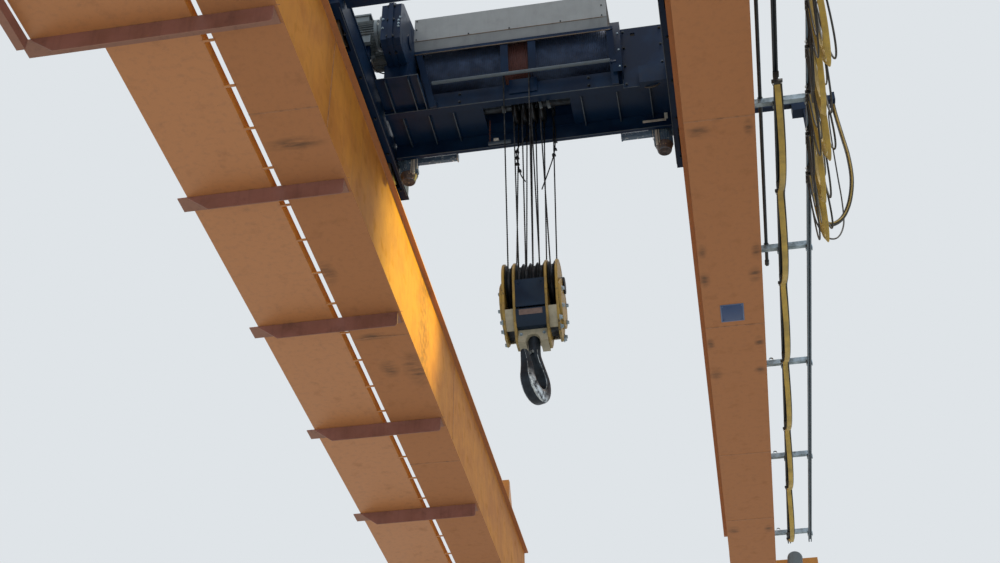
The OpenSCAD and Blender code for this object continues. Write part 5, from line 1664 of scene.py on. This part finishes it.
@dataclass
class FestoonLoops(Festoon):
    """The five hanging loops between the cable cars: flat yellow cables, black round ones and a wrapped thin one.

    A ribbon is (inset, rise, width, greatest twist), a cord (aside, inset, rise, share of the loop's own rise, size).
    """

    gap: float = 0.008
    top: float = 0.0794
    depth: float = 0.860
    thick: float = 0.012
    ribbons: Table = ((0.0, 0.0, 0.046, 0.9), (0.0144, 0.070, 0.044, -0.7), (0.0288, 0.160, 0.030, 0.5))
    cords: Table = ((0.034, 0.012, 0.0, 1, 0.016), (-0.036, 0.020, 0.13, -1, 0.014), (-0.022, 0.044, 0.25, 1, 0.014))
    sway: tuple[float, ...] = (0.012, -0.020, 0.026, -0.012, 0.020)
    shorter: tuple[float, ...] = (0.05, 0.0, 0.09, 0.03, 0.12)

    def line(
        self, ends: Pair, inset: float, rise: float, sway: float, aside: float = 0.0, count: int = 49
    ) -> np.ndarray:
        """A loop's middle line: y = middle - w cos a, z = top - depth sin(a)^0.7, x leans by sway sin a, a half round.

        Args:
            ends: Y of the near and the far end.
            inset: how far inside the outer loop it hangs.
            rise: how much shallower it is.
            sway: how far its bottom leans across.
            aside: how far it lies beside the middle.
            count: points.

        Returns:
            count x 3 points.
        """
        a = np.linspace(0, np.pi, count)
        half = (ends[1] - ends[0]) / 2 - inset - self.thick / 2
        fall = np.maximum(np.sin(a), 0)
        z = self.top - (self.depth - rise - self.thick / 2) * fall**0.7
        return np.stack([self.x + aside + sway * fall, sum(ends) / 2 - half * np.cos(a), z], -1)

    def build(self) -> None:
        """Makes each loop between its two cars."""
        for k, (sway, less) in enumerate(zip(self.sway, self.shorter), 1):
            near = self.first + self.pitch * (k - 1) + self.gap
            far = self.first + self.pitch * k - self.gap
            ends = (near, far)
            draft = Draft()
            turn = np.sin(np.linspace(0, np.pi, 49)) ** 2
            for inset, rise, width, most in self.ribbons:
                path = self.line(ends, inset, rise, sway * (1 - inset * 20))
                draft.tube(path, ribbed_profile(width, self.thick), twist=turn * most * (1 + sway * 12))
            for aside, inset, rise, share, size in self.cords:
                path = self.line(ends, inset, rise + share * less, sway + aside * 0.7, aside)
                draft.tube(path, round_profile(size), slot=1)
            draft.tube(self.line(ends, 0.036, 0.30 - less, -sway, 0.024, 97), round_profile(13 * MM), slot=2)
            looks = "cable_yellow cable_black cable_wrapped"
            piece = self.piece(draft, f"festoon_cables_{k}", looks, "cable_yellow", None)
            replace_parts(piece, f"cable_loop_{k}")
            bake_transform(piece)


@dataclass
class CarFittings(Festoon):
    """Clamps, axle nuts and screws of the festoon's cars, and the clips of the fixed hangers."""

    clamp_z: float = 0.0577
    axle_z: float = 0.1877
    hangers_x: float = 2.235
    hangers_z: float = 0.098

    def build(self) -> None:
        """Makes one piece for the fixed clamp, one for each car and one for the hangers' clips."""
        looks, slot, x = "black_plastic bright_zinc", "black_plastic", self.x
        for k in range(self.cars + 1):
            y = self.first + self.pitch * k
            draft = Draft()
            draft.box((x - 0.047, y - 0.034, self.clamp_z), (x + 0.047, y + 0.034, self.clamp_z + 0.0218), 4 * MM)
            screws = spots((x - 0.036, x + 0.036), (y - 0.022, y + 0.022), (self.clamp_z,))
            draft.bolts(screws, DOWN, 12 * MM, 1)
            for side in (SIDES if k else ()):
                axles = spots((x + side * 0.0221,), (y - 0.026, y + 0.026), (self.axle_z,))
                draft.bolts(axles, (side, 0, 0), 19 * MM, 1)
                draft.bolts(spots((x + side * 0.0162,), (y,), (self.axle_z - 0.006,)), (side, 0, 0), 10 * MM, 1)
            name = f"car_fittings_{k}" if k else "fixed_clamp_fittings"
            body = Body(f"car_{k}") if k else Body.BRIDGE
            self.piece(draft, name, looks, slot, body, 40)
        draft = Draft()
        x, z = self.hangers_x, self.hangers_z
        for y in FreeCables.first + FreeCables.pitch * np.arange(FreeCables.sags + 1):
            draft.box((x - 0.040, y - 0.020, z), (x + 0.040, y + 0.020, 0.1216), 4 * MM)
            draft.bolts(spots((x - 0.033, x + 0.033), (y,), (z,)), DOWN, 10 * MM, 1)
        self.piece(draft, "hanger_clips", looks, slot, Body.BRIDGE, 40)


@dataclass
class FreeCables(SubAssembly):
    """The cables that hang free: the flat and the round one along the inner rail, and the bundle up to the tow arm.

    A hung cable is (name, X, drop under the seats, sag, diameter, its finish, the node that it stands for).
    """

    first: float = -3.390
    pitch: float = 1.378
    sags: int = 6
    seat_z: float = 0.1211
    hung_cables: tuple[tuple[str, float, float, float, float, str, str], ...] = (
        ("hung_flat_cable", 2.235, 0.0065, 0.270, 0.050, "cable_yellow", "hung_cable"),
        ("hung_round_cable", 2.266, 0.0140, 0.205, 0.016, "cable_black", ""),
    )
    bundle: Table = (
        (2.530, -2.150, 0.079), (2.530, -2.146, -0.150), (2.550, -2.100, -0.300), (2.610, -2.030, -0.330),
        (2.720, -1.980, -0.240), (2.810, -1.960, -0.060), (2.870, -1.950, 0.200), (2.885, -1.920, 0.500),
        (2.875, -1.870, 0.800), (2.865, -1.828, 1.060), (2.860, -1.814, 1.200), (2.860, -1.814, 1.305),
    )
    bundle_rounds: Table = ((-0.010, 0.0130), (0.008, 0.0125), (0.0, -0.0125))
    control: Table = (
        (2.470, -2.140, 0.079), (2.470, -2.136, -0.140), (2.490, -2.080, -0.330), (2.560, -2.000, -0.440),
        (2.660, -1.920, -0.400), (2.740, -1.860, -0.220), (2.770, -1.820, 0.060), (2.780, -1.790, 0.420),
        (2.790, -1.770, 0.780), (2.800, -1.760, 1.040), (2.810, -1.770, 1.180), (2.820, -1.785, 1.215),
    )
    arm_side: Point = (0.3, -1, 0)

    def hung_line(self, x: float, drop: float, sag: float) -> np.ndarray:
        """The sags between the hangers: z = top - 4 sag t (1 - t), corners rounded by a mean over seven points.

        Args:
            x: where it lies across the rail.
            drop: how far under the hangers' seats.
            sag: depth of each sag.

        Returns:
            n x 3 points.
        """
        share = np.linspace(0, self.sags, self.sags * 56 + 1)
        t = share % 1
        z = self.seat_z - drop - 4 * sag * t * (1 - t)
        z[3:-3] = np.convolve(z, np.ones(7) / 7, "valid")
        return np.stack([np.full(len(share), x), self.first + self.pitch * share, z], -1)

    def declare(self, piece: bpy.types.Object, path: np.ndarray, diameter: float, stiffness: Stiffness) -> None:
        """Does nothing: it declares no piece as a free cord that goes back into the crane at its far end.

        Args:
            piece: the cable; not used.
            path: the points that it follows, from where it leaves the crane; not used.
            diameter: its diameter, or a flat one's width; not used.
            stiffness: how stiff it is; not used.
        """

    def hung(self) -> None:
        """The flat and the round cable, fixed at seven hangers along the inner rail."""
        for name, x, drop, sag, size, look, node in self.hung_cables:
            path = self.hung_line(x, drop, sag)
            draft = Draft()
            draft.tube(path, ribbed_profile(size, 12 * MM) if node else round_profile(size))
            piece = self.piece(draft, name, look, "cable_yellow", Body.BRIDGE)
            if node:
                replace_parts(piece, node)
            self.declare(piece, path, size, Stiffness.MEDIUM)

    def to_arm(self) -> None:
        """The bundle from the lead car up to the tow arm, one flat cable and three round ones."""
        path = smooth_line(np.array(self.bundle), 8)
        draft = Draft()
        draft.tube(path, ribbed_profile(42 * MM, 11 * MM), self.arm_side)
        for place in self.bundle_rounds:
            draft.tube(path, round_profile(13.5 * MM) + place, self.arm_side, slot=1)
        piece = self.piece(draft, "tow_arm_cables", "cable_yellow cable_black", "cable_yellow", Body.TROLLEY)
        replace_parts(piece, "trolley_cable")
        self.declare(piece, path, 46 * MM, Stiffness.STIFF)

    def beside_it(self) -> None:
        """The thin control cable beside the bundle."""
        path = smooth_line(np.array(self.control), 8)
        draft = Draft()
        draft.tube(path, round_profile(14 * MM), self.arm_side)
        piece = self.piece(draft, "control_cable", "cable_black", "cable_yellow", Body.TROLLEY)
        self.declare(piece, path, 14 * MM, Stiffness.MEDIUM)

    def build(self) -> None:
        """Makes the free cables."""
        self.hung()
        self.to_arm()
        self.beside_it()


# Studio and main


@dataclass
class Studio:
    """Floor, light and camera: a plain pale floor, soft lamps and the photograph's viewpoint.

    A sun is (name, the direction that its light travels, strength, colour, apparent size in degrees).
    """

    floor_z: float = -9.6
    floor_half: float = 60.0
    camera_at: Point = (1.424, -11.77, -8.0)
    pitch_deg: float = 36.96153
    yaw_deg: float = 9.956148
    roll_deg: float = -0.22996
    lens: float = 50.57
    suns: tuple[tuple[str, Point, float, str, float], ...] = (
        ("top_light", (-0.20, 0.10, -1.0), 1.8, "#fff6e8", 16),
        ("side_light", (-1.0, 0.25, -0.30), 0.18, "#fff3dd", 30),
        ("far_side_light", (0.8, 0.30, -0.70), 0.75, "#fff0d8", 20),
        ("fill", (0.20, 0.80, 0.45), 0.24, "#eef2ff", 40),
    )
    spot_at: Point = (4.2, 2.2, 3.6)
    spot_to: Point = (-1.46, -0.45, 0.72)
    spot_watts: float = 3500
    spot_colour: str = "#ffe648"
    spot_cone_deg: float = 24

    def floor(self) -> None:
        """One large quad with a dull pale finish that keeps the crane's shadow."""
        corners = spots((-self.floor_half, self.floor_half), (-self.floor_half, self.floor_half), (self.floor_z,))
        mesh = bpy.data.meshes.new("floor")
        mesh.from_pydata(corners.tolist(), [], [(0, 2, 3, 1)])
        floor = bpy.data.objects.new("floor", mesh)
        bpy.context.scene.collection.objects.link(floor)
        material = bpy.data.materials.new("pale_floor")
        material.use_nodes = True
        shader = material.node_tree.nodes["Principled BSDF"]
        shader.inputs["Base Color"].default_value = linear("#c9cac8")
        shader.inputs["Roughness"].default_value = 0.8
        mesh.materials.append(material)

    def world(self) -> None:
        """Pale background for the camera and for reflections, a plain grey light for everything else."""
        world = bpy.data.worlds.new("pale_world")
        bpy.context.scene.world = world
        world.use_nodes = True
        tree = world.node_tree
        rays = add_node(tree, "ShaderNodeLightPath").outputs
        seen = rays["Is Camera Ray"]
        for ray in ("Is Glossy Ray", "Is Transmission Ray"):
            seen = add_node(tree, "ShaderNodeMath", {0: seen, 1: rays[ray]}, operation="MAXIMUM").outputs[0]
        light = add_node(tree, "ShaderNodeBackground", Color=linear("#e6ebf0"), Strength=0.42).outputs[0]
        pale = add_node(tree, "ShaderNodeBackground", Color=linear("#dfe4e8"), Strength=1.0).outputs[0]
        both = add_node(tree, "ShaderNodeMixShader", {0: seen, 1: light, 2: pale}).outputs[0]
        tree.links.new(both, tree.nodes["World Output"].inputs["Surface"])

    @staticmethod
    def lamp(data: bpy.types.Light, way: np.ndarray) -> bpy.types.Object:
        """Adds a lamp, turned about X from straight down and then about Z.

        Args:
            data: its light.
            way: the direction that it shines in.

        Returns:
            The lamp.
        """
        way = way / np.linalg.norm(way)
        lamp = bpy.data.objects.new(data.name, data)
        lamp.rotation_euler = (math.acos(-way[2]), 0, math.atan2(-way[0], way[1]))
        bpy.context.scene.collection.objects.link(lamp)
        return lamp

    def lamps(self) -> None:
        """Four soft suns, and one warm spot that lights the left girder's web more than the rest."""
        for name, toward, strength, colour, size_deg in self.suns:
            data = bpy.data.lights.new(name, "SUN")
            data.energy, data.color, data.angle = strength, linear(colour)[:3], math.radians(size_deg)
            self.lamp(data, np.array(toward))
        data = bpy.data.lights.new("warm_spot", "SPOT")
        data.energy, data.color = self.spot_watts, linear(self.spot_colour)[:3]
        data.spot_size, data.spot_blend, data.shadow_soft_size = math.radians(self.spot_cone_deg), 0.8, 0.15
        self.lamp(data, np.array(self.spot_to) - self.spot_at).location = self.spot_at

    def camera(self) -> None:
        """The photograph's camera, solved from the girders' and rails' straight edges."""
        yaw, pitch, roll = (math.radians(angle) for angle in (self.yaw_deg, self.pitch_deg, self.roll_deg))
        forward = np.array([-math.sin(yaw) * math.cos(pitch), math.cos(yaw) * math.cos(pitch), math.sin(pitch)])
        right = np.array([math.cos(yaw), math.sin(yaw), 0.0])
        up = np.cross(right, forward)
        x = math.cos(roll) * right + math.sin(roll) * up
        y = -math.sin(roll) * right + math.cos(roll) * up
        matrix = np.eye(4)
        matrix[:3] = np.stack([x, y, -forward, self.camera_at], -1)
        data = bpy.data.cameras.new("camera")
        data.lens, data.sensor_width, data.clip_end = self.lens, 36, 200
        camera = bpy.data.objects.new("camera", data)
        camera.matrix_world = Matrix(matrix.tolist())
        bpy.context.scene.collection.objects.link(camera)
        bpy.context.scene.camera = camera

    def build(self) -> None:
        """Makes camera, floor, world and lamps."""
        bpy.context.scene.view_settings.view_transform = "Standard"
        self.camera()
        self.floor()
        self.world()
        self.lamps()
        LOG.info("studio ready")


def main() -> None:
    """Builds the studio, dresses the CAD nodes and adds each sub-assembly's own pieces."""
    logging.basicConfig(level=logging.INFO, format="%(name)s %(message)s")
    Studio().build()
    finishes = all_finishes()
    for part in (
        CadDress, HoistRopes, FreeCables, FestoonLoops, CarFittings, DrumRope, BlockRope, HookBlock, Hook,
        BridgeDetails, TrolleyDetails,
    ):
        part(finishes).build()


if __name__ == "__main__":
    main()
